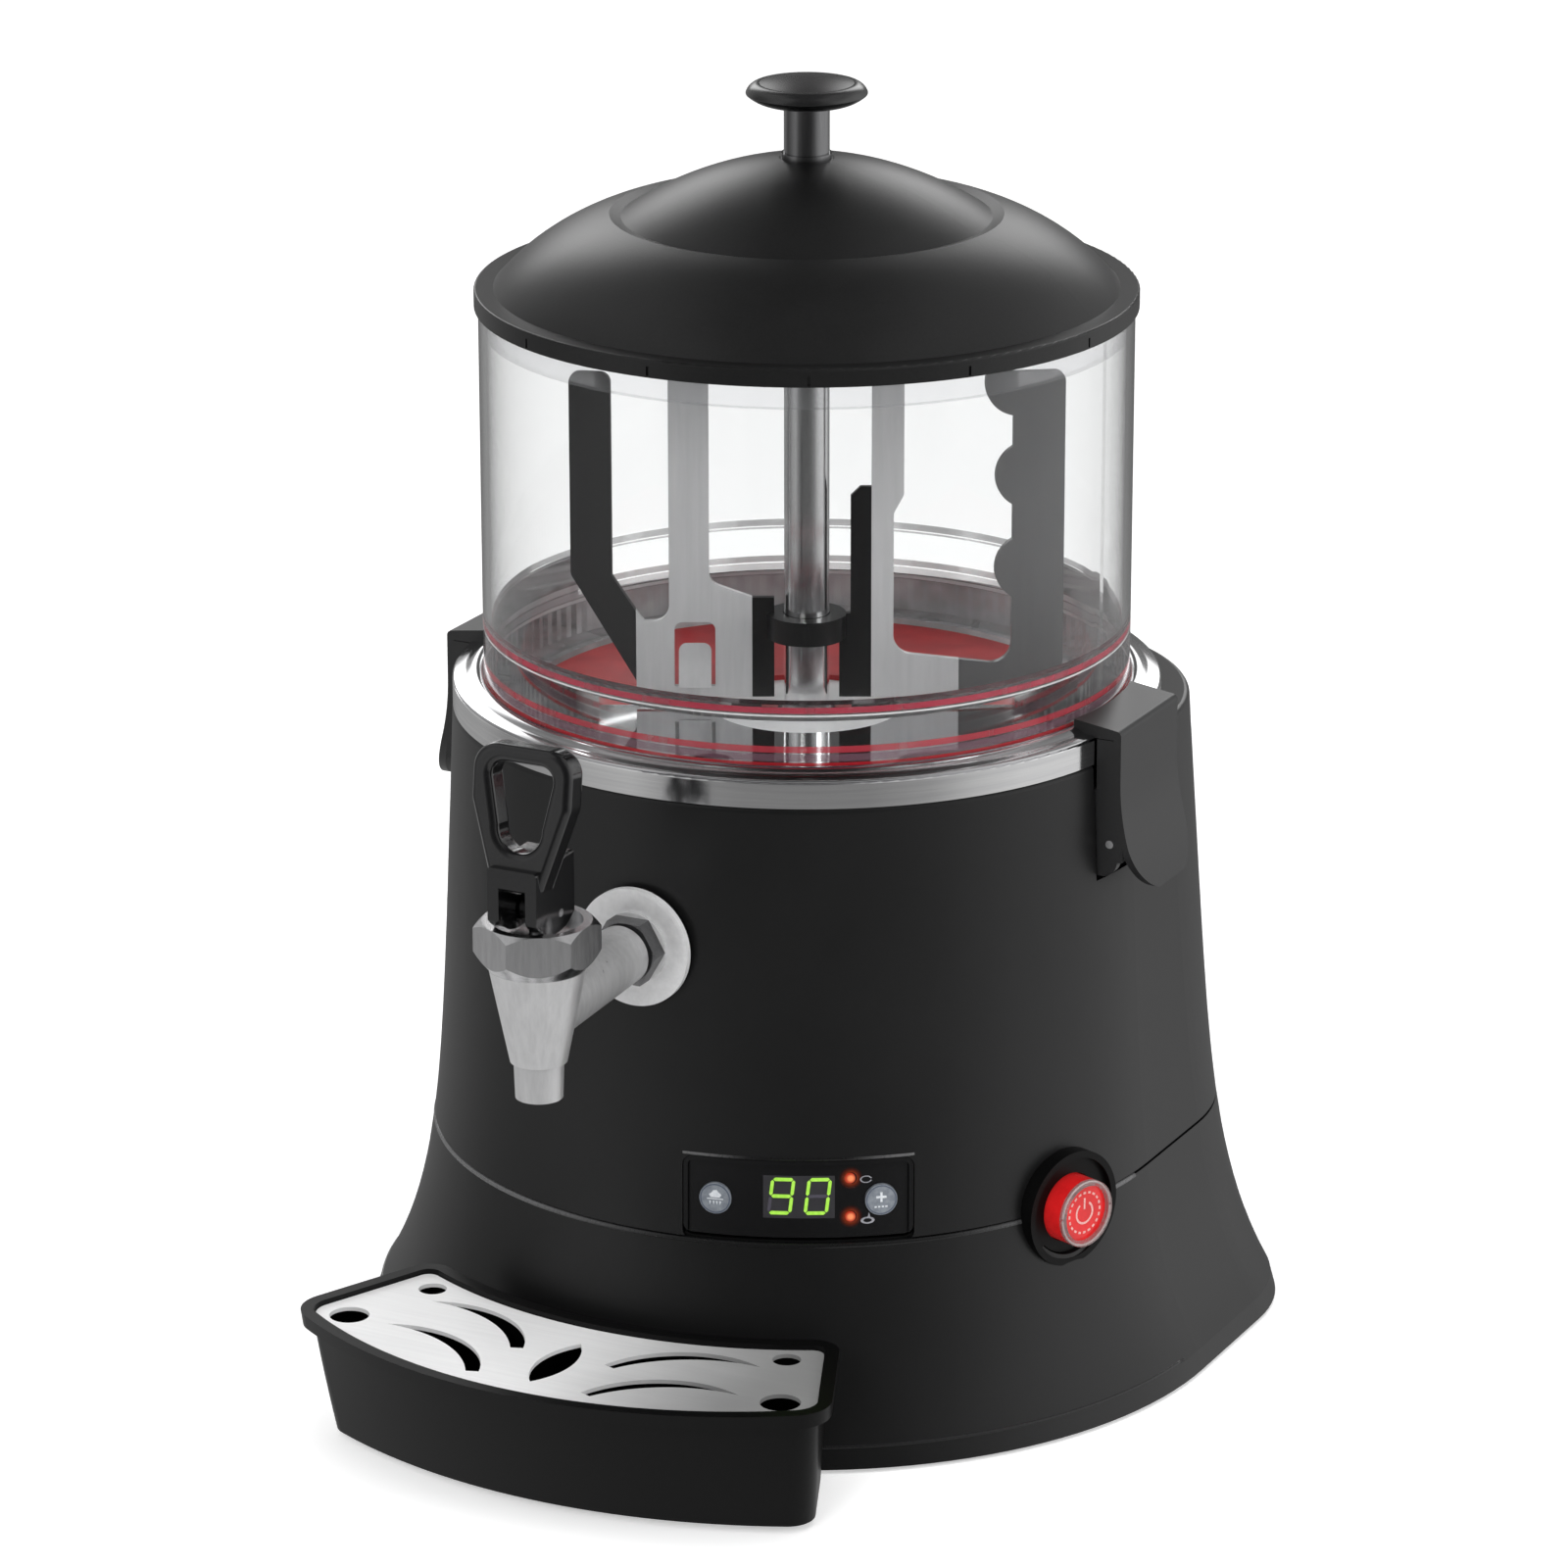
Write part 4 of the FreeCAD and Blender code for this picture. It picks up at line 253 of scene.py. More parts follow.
def makeBackdrop():
    world = bpy.data.worlds.new("studioWorld")
    world.use_nodes = True
    bpy.context.scene.world = world
    paint = Paint(world.node_tree)
    x, y, z = paint.axes(paint.node("ShaderNodeTexCoord", out="Generated"))
    seen, mirrored, through, depth = paint.rayKinds("Is Camera Ray", "Is Glossy Ray", "Is Transmission Ray",
                                                    "Glossy Depth")
    bounced = depth.above(0.5)
    glossy = mirrored.most(bounced)
    through = through * (1.0 - bounced)
    frontX, frontY = studio["roomFront"]
    bearing = paint.node("ShaderNodeMath", {"operation": "ARCTAN2"},
                         {0: y * frontX - x * frontY, 1: x * frontX + y * frontY})
    bearing = bearing * (180.0 / math.pi)
    stops = [((angle + 180.0) / 360.0, level) for angle, level in studio["room"]]
    walls = paint.node("ShaderNodeValToRGB", {"stops": stops}, {0: (bearing + 180.0) / 360.0})
    low = (0.0 - z).ramp(*studio["lowSlope"])
    room = walls * (1.0 - low * bearing.ramp(*studio["lowTurn"], studio["lowLeft"], studio["lowRight"]))
    window = bearing.size().band(*studio["windowBearing"]) * z.band(*studio["windowHeight"])
    room = room + window * studio["windowGlow"]
    upper = studio["ceiling"] + bearing.size().band(*studio["ceilingBearing"]) * studio["ceilingSide"]
    room = room + z.ramp(*studio["upperSlope"]) * (upper - room)
    room = room + z.ramp(*studio["crownSlope"]) * (studio["ceiling"] - room)
    room = room + (0.0 - z).ramp(*studio["groundSlope"]) * (studio["ground"] - room)
    strength = studio["ambient"] + glossy * (room - studio["ambient"])
    strength = strength + seen.most(through) * (1.0 - strength)
    shader = paint.node("ShaderNodeBackground", None, {"Color": (1.0, 1.0, 1.0), "Strength": strength})
    paint.node("ShaderNodeOutputWorld", None, {"Surface": shader})


def makeFloor():
    half = studio["floorSize"] / 2
    mesh = bpy.data.meshes.new("studioFloor")
    corners = [(-half, -half, 0), (half, -half, 0), (half, half, 0), (-half, half, 0)]
    mesh.from_pydata(corners, [], [(0, 1, 2, 3)])
    item = bpy.data.objects.new("studioFloor", mesh)
    bpy.context.scene.collection.objects.link(item)
    material, paint = newPaint("floorPaper")
    grain = paint.noise(studio["floorGrainScale"], 2.0)
    shader = paint.node("ShaderNodeBsdfDiffuse", None, {"Color": studio["floorColor"]})
    seen, through, depth = paint.rayKinds("Is Camera Ray", "Is Transmission Ray", "Glossy Depth")
    x, y, z = paint.axes()
    start, end, added = studio["farGlow"]
    far = (x * x + y * y).root().ramp(start, end, 0.0, added)
    strength = seen.most(through) * (studio["floorGlow"] + far + grain * studio["floorGrain"])
    glow = paint.node("ShaderNodeEmission", None, {"Color": (1.0, 1.0, 1.0), "Strength": strength})
    both = paint.node("ShaderNodeAddShader", None, {0: shader, 1: glow})
    paint.finish(paint.blend(depth.above(0.5), both, paint.clear()))
    mesh.materials.append(material)
    item.visible_glossy = False


makeCamera()
makeLamps()
makeBackdrop()
makeFloor()
bpy.context.scene.view_settings.view_transform = "Standard"
print("studio is set")


# moulded plastics and rubber

plasticCloud = {"scale": 14.0, "roughSpread": 0.08}
contrast = (0.3, 0.7)  # the part of a noise's range over which its colour changes
lineContrast = (0.25, 0.75)


def mouldedPlastic(name, look):
    material, paint = newPaint(name)
    scale, strength, depth = look["grain"]
    grain = paint.noise(scale, 4.0, 0.6)
    cloud = paint.noise(plasticCloud["scale"], 3.0, 0.55)
    tone = (cloud * 0.5 + grain * 0.5).ramp(*contrast)
    color = paint.mix(tone, look["dark"], look["light"])
    rough = look["rough"] + (cloud - 0.5) * look.get("roughSpread", plasticCloud["roughSpread"])
    paint.surface(color=color, rough=rough, specular=look.get("specular", 0.5), coat=look.get("coat", 0.0),
                  coatRough=look.get("coatRough", 0.2), normal=paint.bump(grain, strength, depth * mm))
    return material


plastics = {
    # grain: scale, strength, depth in mm
    "housingBlack": {"dark": (0.0055, 0.0055, 0.0057), "light": (0.0080, 0.0080, 0.0082), "rough": 0.36,
                     "grain": (1500.0, 0.10, 0.02)},
    "trayBlack": {"dark": (0.0020, 0.0020, 0.0021), "light": (0.0034, 0.0034, 0.0035), "rough": 0.36,
                  "specular": 0.20, "grain": (1500.0, 0.10, 0.02)},
    "lidBlack": {"dark": (0.0030, 0.0030, 0.0031), "light": (0.0080, 0.0080, 0.0082), "rough": 0.34,
                 "grain": (1100.0, 0.50, 0.05)},
    "latchBlack": {"dark": (0.015, 0.015, 0.0155), "light": (0.020, 0.020, 0.0205), "rough": 0.36,
                   "grain": (1300.0, 0.12, 0.02)},
    "handleBlack": {"dark": (0.0045, 0.0045, 0.005), "light": (0.0075, 0.0075, 0.008), "rough": 0.16,
                    "grain": (500.0, 0.04, 0.03), "roughSpread": 0.04, "coat": 0.5, "coatRough": 0.08},
    "knobBlack": {"dark": (0.0060, 0.0060, 0.0062), "light": (0.0090, 0.0090, 0.0095), "rough": 0.26,
                  "specular": 0.9, "grain": (700.0, 0.08, 0.02)},
    "panelBlack": {"dark": (0.0050, 0.0050, 0.0054), "light": (0.0075, 0.0075, 0.0080), "rough": 0.24,
                   "grain": (900.0, 0.04, 0.01)},
    "rubberBlack": {"dark": (0.0020, 0.0020, 0.0020), "light": (0.0035, 0.0035, 0.0035), "rough": 0.40,
                    "specular": 0.18, "grain": (900.0, 0.2, 0.03)},
    "motorGrey": {"dark": (0.16, 0.16, 0.165), "light": (0.21, 0.21, 0.215), "rough": 0.45,
                  "grain": (900.0, 0.2, 0.03)},
    "bushWhite": {"dark": (0.68, 0.67, 0.63), "light": (0.76, 0.75, 0.71), "rough": 0.45,
                  "grain": (700.0, 0.1, 0.02)},
}


# metals

def brushedLines(paint, look, where=None):
    scale, stretch, strength, depth = look["lines"]
    lines = paint.noise(scale, 5.0, 0.65, where=where, stretch=stretch)
    return lines, paint.bump(lines, strength, depth * mm)


metalCloud = {"scale": 18.0, "roughSpread": 0.04, "wornSpread": 0.03}


def brushedMetal(name, look):
    material, paint = newPaint(name)
    lines, relief = brushedLines(paint, look)
    cloud = paint.noise(metalCloud["scale"], 3.0, 0.5)
    color = paint.mix(lines.ramp(*lineContrast), look["dark"], look["light"])
    # painted shade: along x the colour is mixed towards black, from start to end in mm, up to the given level
    if "worn" in look:
        x, y, z = paint.axes()
        start, end, level = look["worn"]
        shade = (x + (cloud - 0.5) * metalCloud["wornSpread"]).ramp(start * mm, end * mm, 0.0, level)
        color = paint.mix(shade, color, (0.0, 0.0, 0.0))
    rough = look["rough"] + (lines - 0.5) * look["roughSpread"] + (cloud - 0.5) * metalCloud["roughSpread"]
    paint.surface(color=color, metal=look.get("metal", 1.0), rough=rough, normal=relief)
    return material


metals = {
    # lines: scale, stretch, strength, depth in mm
    "polishedRim": {"dark": (0.66, 0.66, 0.67), "light": (0.74, 0.74, 0.75), "rough": 0.10,
                    "roughSpread": 0.08, "lines": (260.0, (0.05, 0.05, 3.0), 0.06, 0.02)},
    "polishedTap": {"dark": (0.66, 0.66, 0.67), "light": (0.76, 0.76, 0.77), "rough": 0.22,
                    "roughSpread": 0.12, "lines": (420.0, (1.0, 1.0, 0.15), 0.10, 0.02)},
    "satinTap": {"dark": (0.58, 0.58, 0.585), "light": (0.68, 0.68, 0.685), "rough": 0.30,
                 "roughSpread": 0.12, "lines": (420.0, (1.0, 1.0, 0.15), 0.06, 0.02), "metal": 0.60},
    "flangeSteel": {"dark": (0.80, 0.80, 0.805), "light": (0.90, 0.90, 0.905), "rough": 0.30,
                    "roughSpread": 0.08, "lines": (300.0, (1.0, 1.0, 1.0), 0.04, 0.02), "metal": 0.25},
    "nutSteel": {"dark": (0.24, 0.24, 0.245), "light": (0.32, 0.32, 0.325), "rough": 0.24,
                 "roughSpread": 0.08, "lines": (300.0, (1.0, 1.0, 1.0), 0.04, 0.02)},
    # the grille's steel carries a painted shade, darker towards +x
    "grilleSteel": {"dark": (0.93, 0.93, 0.935), "light": (1.0, 1.0, 1.0), "rough": 0.42,
                    "roughSpread": 0.16, "metal": 0.12, "worn": (-10.0, 80.0, 0.70),
                    "lines": (480.0, (0.04, 1.0, 1.0), 0.18, 0.02)},
    "zincSteel": {"dark": (0.42, 0.42, 0.43), "light": (0.52, 0.52, 0.53), "rough": 0.40,
                  "roughSpread": 0.15, "lines": (300.0, (1.0, 1.0, 1.0), 0.15, 0.03)},
    "castAlloy": {"dark": (0.42, 0.42, 0.43), "light": (0.50, 0.50, 0.51), "rough": 0.50,
                  "roughSpread": 0.15, "lines": (260.0, (1.0, 1.0, 1.0), 0.35, 0.08)},
    "pipeSteel": {"dark": (0.84, 0.84, 0.845), "light": (0.92, 0.92, 0.925), "rough": 0.15,
                  "roughSpread": 0.02, "lines": (200.0, (1.0, 1.0, 0.05), 0.01, 0.02)},
    "stemDark": {"dark": (0.22, 0.22, 0.225), "light": (0.28, 0.28, 0.285), "rough": 0.14,
                 "roughSpread": 0.08, "lines": (420.0, (1.0, 1.0, 0.1), 0.05, 0.02)},
    "buttonSilver": {"dark": (0.20, 0.225, 0.26), "light": (0.34, 0.37, 0.41), "rough": 0.40,
                     "roughSpread": 0.1, "metal": 0.2, "lines": (500.0, (1.0, 1.0, 1.0), 0.2, 0.02)},
}


paddle = {
    "turn": 26.65,
    # where each plate starts along the paddle, in mm from the axis, and how light its face is painted: lit
    # and shaded copies of one steel, a painted shade for each plate
    "plates": [(-200.0, 0.014), (-62.5, 0.50), (-20.0, 0.006), (23.6, 0.54), (55.7, 0.11)],
    "shade": 0.85, "lineShade": 0.3, "blue": 1.01, "rough": 0.34, "roughSpread": 0.12, "metal": 0.15,
    "lines": (420.0, (1.0, 1.0, 0.06), 0.12, 0.02),
}


def paddlePaintedShade():
    material, paint = newPaint("paddlePaintedShade")
    where = paint.turned(paddle["turn"])
    x, y, z = paint.axes(where)
    lines, relief = brushedLines(paint, paddle, where)
    # painted shade: the colour steps from plate to plate along the paddle
    level = last = paddle["plates"][0][1]
    for start, shade in paddle["plates"][1:]:
        level = x.above(start * mm) * (shade - last) + level
        last = shade
    level = level * (paddle["shade"] + lines * paddle["lineShade"])
    color = paint.node("ShaderNodeCombineXYZ", None, {0: level, 1: level, 2: level * paddle["blue"]})
    rough = paddle["rough"] + (lines - 0.5) * paddle["roughSpread"]
    paint.surface(color=color, metal=paddle["metal"], rough=rough, normal=relief)
    return material


# clear and coloured plastics

bowl = {
    "footTop": 272.0, "ior": 1.36, "outer": 117.0, "gloss": 0.10, "paintedBackReflection": (0.66, 0.66, 0.67),
    "tint": (0.915, 0.92, 0.92), "footTint": (0.975, 0.98, 0.98), "shadowTint": (0.90, 0.90, 0.90),
    "tintTurn": (-20.0, 30.0), "ringSoft": 0.3, "ringRough": 0.2,
    # scale, the noise's range, and from and to what it turns the roughness or the rings' cover
    "haze": (30.0, (0.35, 0.8, 0.0, 0.02)), "streak": (60.0, (0.2, 0.6, 0.65, 1.0)),
    # rings painted on the foot, pale ones as painted highlights, red and dark red ones as painted reflections
    # of the red silicone: bottom and top in mm, colour, how solid
    "rings": [(273.2, 276.0, (0.86, 0.86, 0.87), 0.70), (269.6, 273.0, (0.42, 0.03, 0.06), 0.80),
              (268.4, 269.4, (0.90, 0.90, 0.90), 0.70), (255.2, 257.9, (0.45, 0.03, 0.05), 0.80),
              (252.0, 255.0, (0.22, 0.10, 0.14), 0.60), (250.2, 251.9, (0.50, 0.02, 0.03), 0.90)],
}


def clearPlastic():
    material, paint = newPaint("bowlClear")
    x, y, z = paint.axes()
    scale, turn = bowl["haze"]
    haze = paint.noise(scale, 3.0, 0.5).ramp(*turn)
    scale, turn = bowl["streak"]
    streak = paint.noise(scale, 3.0, 0.6, stretch=(1.0, 1.0, 0.15)).ramp(*turn)
    glass = paint.shaded(color=bowl["tint"], rough=haze, through=1.0, ior=bowl["ior"])
    # the lamps light what stands inside the bowl
    shadow, = paint.rayKinds("Is Shadow Ray")
    glass = paint.blend(shadow, glass, paint.clear(bowl["shadowTint"]))
    thin = paint.clear(bowl["footTint"])
    shine = paint.node("ShaderNodeBsdfGlossy", None, {"Color": (1.0, 1.0, 1.0), "Roughness": bowl["gloss"]})
    edge = paint.node("ShaderNodeFresnel", None, {"IOR": bowl["ior"]})
    foot = paint.blend(edge, thin, shine)
    outside = (x * x + y * y).root().above(bowl["outer"] * mm)
    frontX, frontY = studio["roomFront"]
    viewerSide = (x * frontX + y * frontY).ramp(bowl["tintTurn"][0] * mm, bowl["tintTurn"][1] * mm)
    # painted highlights and reflections: each ring takes its colour on the viewer's side and the grey back
    # tint at the back
    soft = bowl["ringSoft"]
    for low, high, color, solid in bowl["rings"]:
        ring = z.band(low * mm, (low + soft) * mm, (high - soft) * mm, high * mm)
        painted = paint.shaded(color=paint.mix(viewerSide, bowl["paintedBackReflection"], color), rough=bowl["ringRough"])
        foot = paint.blend(ring * outside * solid * streak, foot, painted)
    paint.finish(paint.blend(z.above(bowl["footTop"] * mm), foot, glass))
    return material


# plastics with soft clouds of colour
clouded = {
    "siliconeRed": {"dark": (0.50, 0.012, 0.016), "light": (0.66, 0.03, 0.035), "cloudScale": 60.0,
                    "rough": 0.42, "roughSpread": 0.08, "relief": (0.1, 0.05),
                    "sockets": {"scatter": 0.2, "scatterRadius": (1.0, 0.2, 0.1), "scatterScale": 0.003}},
    "powerRed": {"dark": (0.42, 0.004, 0.006), "light": (0.66, 0.01, 0.012), "cloudScale": 80.0,
                 "rough": 0.16, "roughSpread": 0.05,
                 "sockets": {"coat": 0.6, "coatRough": 0.06, "glow": (0.9, 0.03, 0.03),
                             "glowStrength": 0.24}},
}


def cloudedPlastic(name, look):
    material, paint = newPaint(name)
    cloud = paint.noise(look["cloudScale"], 4.0, 0.55)
    sockets = dict(look["sockets"])
    if "relief" in look:
        strength, depth = look["relief"]
        sockets["normal"] = paint.bump(cloud, strength, depth * mm)
    paint.surface(color=paint.mix(cloud.ramp(*contrast), look["dark"], look["light"]),
                  rough=look["rough"] + (cloud - 0.5) * look["roughSpread"], **sockets)
    return material


floor = {"redFrom": (-3.0, -2.0), "steel": (0.74, 0.74, 0.75), "dark": (0.46, 0.012, 0.016),
         "light": (0.62, 0.03, 0.035), "cloudScale": 60.0, "rough": 0.05, "redRough": 0.35,
         "roughSpread": 0.03}


# red silicone behind the mixer and the dish's polished steel in front of it
def floorFinish():
    material, paint = newPaint("floorFinish")
    x, y, z = paint.axes(paint.turned(paddle["turn"]))
    cloud = paint.noise(floor["cloudScale"], 4.0, 0.55)
    start, end = floor["redFrom"]
    behind = y.ramp(start * mm, end * mm)
    red = paint.mix(cloud.ramp(*contrast), floor["dark"], floor["light"])
    paint.surface(color=paint.mix(behind, floor["steel"], red), metal=1.0 - behind,
                  rough=floor["rough"] + behind * floor["redRough"] + cloud * floor["roughSpread"])
    return material


dishLook = {"inner": (121.3, 121.9), "dark": (0.86, 0.86, 0.87), "light": (0.97, 0.97, 0.97),
            "rough": 0.12, "innerRough": 0.30, "roughSpread": 0.08,
            "lines": (260.0, (0.05, 0.05, 3.0), 0.06, 0.02)}


# polished outside, softer and paler on the inner side that faces the bowl
def dishSteel():
    material, paint = newPaint("dishSteel")
    x, y, z = paint.axes()
    lines, relief = brushedLines(paint, dishLook)
    start, end = dishLook["inner"]
    inner = 1.0 - (x * x + y * y).root().ramp(start * mm, end * mm)
    rough = dishLook["rough"] + inner * dishLook["innerRough"] + (lines - 0.5) * dishLook["roughSpread"]
    paint.surface(color=paint.mix(lines.ramp(*lineContrast), dishLook["dark"], dishLook["light"]),
                  metal=1.0 - inner, rough=rough, normal=relief)
    return material


# films that let light through; the share of cloudy solid on them grows at the edges or in the clouds
films = {
    "clearRing": {"clear": (0.96, 0.96, 0.965), "dark": (0.60, 0.60, 0.61), "light": (0.75, 0.75, 0.76),
                  "rough": 0.2, "cloudScale": 60.0, "cover": 0.01, "edgeCover": 0.22, "ior": 1.4},
    "powerClear": {"clear": (0.86, 0.84, 0.84), "dark": (0.50, 0.44, 0.44), "light": (0.62, 0.56, 0.56),
                   "rough": 0.10, "cloudScale": 90.0, "cover": 0.16, "edgeCover": 0.9, "ior": 1.45},
    "milkySeal": {"clear": (0.93, 0.93, 0.94), "dark": (0.72, 0.72, 0.73), "light": (0.90, 0.90, 0.905),
                  "rough": 0.25, "cloudScale": 40.0, "cloudCover": (0.30, 0.60)},
}


def clearFilm(name, look):
    material, paint = newPaint(name)
    cloud = paint.noise(look["cloudScale"], 3.0, 0.5)
    solid = paint.shaded(color=paint.mix(cloud, look["dark"], look["light"]), rough=look["rough"])
    if "cloudCover" in look:
        cover = cloud.ramp(*contrast, *look["cloudCover"])
    else:
        edge = paint.node("ShaderNodeFresnel", None, {"IOR": look["ior"]})
        cover = (look["cover"] + edge * look["edgeCover"]).least(1.0)
    paint.finish(paint.blend(cover, paint.clear(look["clear"]), solid))
    return material


# smooth plastics: dark and light colour, scale of the grain, roughness and how far it varies
smooths = {
    "displayGlass": ((0.030, 0.029, 0.033), (0.046, 0.044, 0.050), 200.0, 0.28, 0.06),
    "edgeGloss": ((0.010, 0.010, 0.0104), (0.016, 0.016, 0.0165), 900.0, 0.20, 0.06),
}


def smoothPlastic(name, dark, light, scale, rough, spread):
    material, paint = newPaint(name)
    grain = paint.noise(scale, 3.0, 0.5)
    paint.surface(color=paint.mix(grain, dark, light), rough=rough + grain * spread)
    return material


digit = {"core": (0.44, 0.84, 0.10), "edge": (0.34, 0.74, 0.06), "strength": 1.0, "dimming": 0.9,
         "cloudScale": 700.0, "rough": 0.3, "roughSpread": 0.1}


def digitFinish():
    material, paint = newPaint("digitGreen")
    cloud = paint.noise(digit["cloudScale"], 2.0, 0.5)
    dim = paint.mix(digit["dimming"], paint.mix(cloud, digit["edge"], digit["core"]), (0.0, 0.0, 0.0))
    paint.surface(color=dim, rough=digit["rough"] + cloud * digit["roughSpread"],
                  glow=paint.mix(cloud.ramp(*contrast), digit["edge"], digit["core"]),
                  glowStrength=digit["strength"])
    return material


circuit = {"cellScale": 260.0, "edges": (0.2, 0.5), "dark": (0.010, 0.10, 0.035), "light": (0.03, 0.16, 0.06),
           "rough": 0.35, "roughSpread": 0.1}


def circuitBoard():
    material, paint = newPaint("circuitBoard")
    cells = paint.cells(circuit["cellScale"])
    paint.surface(color=paint.mix(cells.ramp(*circuit["edges"]), circuit["dark"], circuit["light"]),
                  rough=circuit["rough"] + cells * circuit["roughSpread"])
    return material


lamp = {"across": 18.7, "middle": 94.8, "apart": 7.05, "core": 0.5, "rim": 1.9, "bearing": 25.35,
        "coreColor": (1.0, 0.30, 0.12), "rimColor": (0.42, 0.025, 0.006),
        "color": (0.03, 0.006, 0.004), "rough": 0.35}


def lampFinish():
    material, paint = newPaint("lampOrange")
    angle = math.radians(lamp["bearing"])
    x, y, z = paint.axes()
    aside = x * math.cos(angle) + y * math.sin(angle) - lamp["across"] * mm
    above = (z - lamp["middle"] * mm).size() - lamp["apart"] * mm
    reach = (aside * aside + above * above).root()
    glow = paint.mix(reach.ramp(lamp["core"] * mm, lamp["rim"] * mm), lamp["coreColor"], lamp["rimColor"])
    paint.surface(color=lamp["color"], rough=lamp["rough"], glow=glow, glowStrength=1.0)
    return material


worn = {
    # bearing of the middle, and where the painted highlights at the ends start and are full, in mm from it
    "seamEdge": (26.65, 45.0, 110.0), "panelEdge": (25.35, 16.0, 38.0),
    "dark": (0.006, 0.006, 0.0062), "light": (0.12, 0.12, 0.122), "rough": 0.25, "roughSpread": 0.06,
    "grain": (900.0, 0.8, 0.4),  # scale, least share of the paleness, how far it varies
}


# smooth black edge with a painted highlight that grows paler towards its ends
def paintedHighlightEdge(name):
    material, paint = newPaint(name)
    bearing, start, full = worn[name]
    angle = math.radians(bearing)
    x, y, z = paint.axes()
    scale, least, spread = worn["grain"]
    grain = paint.noise(scale, 3.0, 0.5)
    # painted highlight: the edge grows paler away from the middle bearing
    shade = (x * math.cos(angle) + y * math.sin(angle)).size().ramp(start * mm, full * mm)
    paint.surface(color=paint.mix(shade * (least + grain * spread), worn["dark"], worn["light"]),
                  rough=worn["rough"] + grain * worn["roughSpread"])
    return material


materials = {}
for maker, looks in ((mouldedPlastic, plastics), (brushedMetal, metals),
                     (cloudedPlastic, clouded), (clearFilm, films)):
    materials.update({name: maker(name, look) for name, look in looks.items()})
materials.update({name: smoothPlastic(name, *look) for name, look in smooths.items()})
materials.update({name: paintedHighlightEdge(name) for name in ("seamEdge", "panelEdge")})
for maker in (paddlePaintedShade, clearPlastic, floorFinish, dishSteel, digitFinish, circuitBoard, lampFinish):
    material = maker()
    materials[material.name] = material

nodeFinish = {
    "housingBlack": ["base_shell", "upper_shell", "bottom_plate"],
    "trayBlack": ["drip_tray"],
    "lidBlack": ["lid_shell"],
    "latchBlack": ["right_latch", "left_latch", "latch_brackets"],
    "handleBlack": ["tap_handle"],
    "knobBlack": ["lid_knob"],
    "panelBlack": ["panel_bezel"],
    "rubberBlack": ["feet", "power_inlet", "tap_gasket", "switch_bezel", "switch_body", "mixer_cap"],
    "motorGrey": ["motor"],
    "bushWhite": ["shaft_bushes"],
    "dishSteel": ["bowl_base"],
    "pipeSteel": ["standpipe"],
    "clearRing": ["lid_ring"],
    "satinTap": ["tap_body"],
    "flangeSteel": ["tap_flange"],
    "nutSteel": ["tap_nut"],
    "polishedTap": ["tap_bonnet", "tap_shank", "tap_stem", "tap_pin", "latch_pins"],
    "grilleSteel": ["drip_grille"],
    "zincSteel": ["water_tank", "heating_element", "motor_bracket", "motor_standoffs", "base_screws",
                  "knob_screw", "tap_lock_nut", "board_posts", "inlet_pins", "temperature_probe",
                  "outlet_elbow", "drive_shaft"],
    "castAlloy": ["gearbox"],
    "stemDark": ["lid_stem"],
    "buttonSilver": ["left_button", "right_button"],
    "paddlePaintedShade": ["mixer_paddle"],
    "bowlClear": ["bowl_wall"],
    "siliconeRed": ["tap_seat"],
    "floorFinish": ["floor_seal"],
    "milkySeal": ["bowl_gasket"],
    "powerRed": ["power_button"],
    "powerClear": ["power_lens"],
    "displayGlass": ["display_window"],
    "digitGreen": ["display_digits"],
    "lampOrange": ["panel_lamps"],
    "circuitBoard": ["control_board", "power_board"],
}

for finish, names in nodeFinish.items():
    for name in names:
        mesh = nodeObject[name].data
        mesh.materials.clear()
        mesh.materials.append(materials[finish])
unpainted = set(nodeObject) - {name for names in nodeFinish.values() for name in names}
print("painted nodes, left over:", sorted(unpainted))


# small finished pieces on the housing, the panel and the buttons

body = {"deckHeight": 238.5, "deckRadius": 130.0, "taper": 10.5, "flare": 26.0}
rayStart = 200.0  # how far from the axis a ray towards the housing starts


def bodyRadius(height):
    share = (body["deckHeight"] - height) / body["deckHeight"]
    return body["deckRadius"] + body["taper"] * share + body["flare"] * share ** 6


def bodyPoint(bearing, height, proud=0.0):
    angle = math.radians(bearing)
    reach = bodyRadius(height) + proud
    return Vector((reach * math.sin(angle), -reach * math.cos(angle), height))


# a flat drawing board in front of a node, whose lines are laid on that node's surface
class Face:
    def __init__(self, nodes, bearing, height):
        angle = math.radians(bearing)
        self.nodes = [nodeObject[node] for node in nodes]
        self.out = Vector((math.sin(angle), -math.cos(angle), 0.0))
        self.across = Vector((math.cos(angle), math.sin(angle), 0.0))
        self.height = height

    def spot(self, side, rise, lift):
        start = (self.out * rayStart + self.across * side + Vector((0, 0, self.height + rise))) * mm
        hits = [node.ray_cast(start, -self.out) for node in self.nodes]
        places = [hit[1] for hit in hits if hit[0]]
        if not places:
            raise ValueError("nothing under the drawing at %.1f, %.1f" % (side, rise))
        return max(places, key=lambda place: place.dot(self.out)) + self.out * (lift * mm)


def newMesh(name, points, faces, material, smooth=False):
    mesh = bpy.data.meshes.new(name)
    mesh.from_pydata([tuple(point) for point in points], [], faces)
    mesh.update()
    work = bmesh.new()
    work.from_mesh(mesh)
    bmesh.ops.remove_doubles(work, verts=work.verts, dist=1e-7)
    bmesh.ops.recalc_face_normals(work, faces=work.faces)
    work.to_mesh(mesh)
    work.free()
    for polygon in mesh.polygons:
        polygon.use_smooth = smooth
    mesh.materials.append(material)
    item = bpy.data.objects.new(name, mesh)
    bpy.context.scene.collection.objects.link(item)
    return item


def keep(item, owner):
    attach(item, owner)


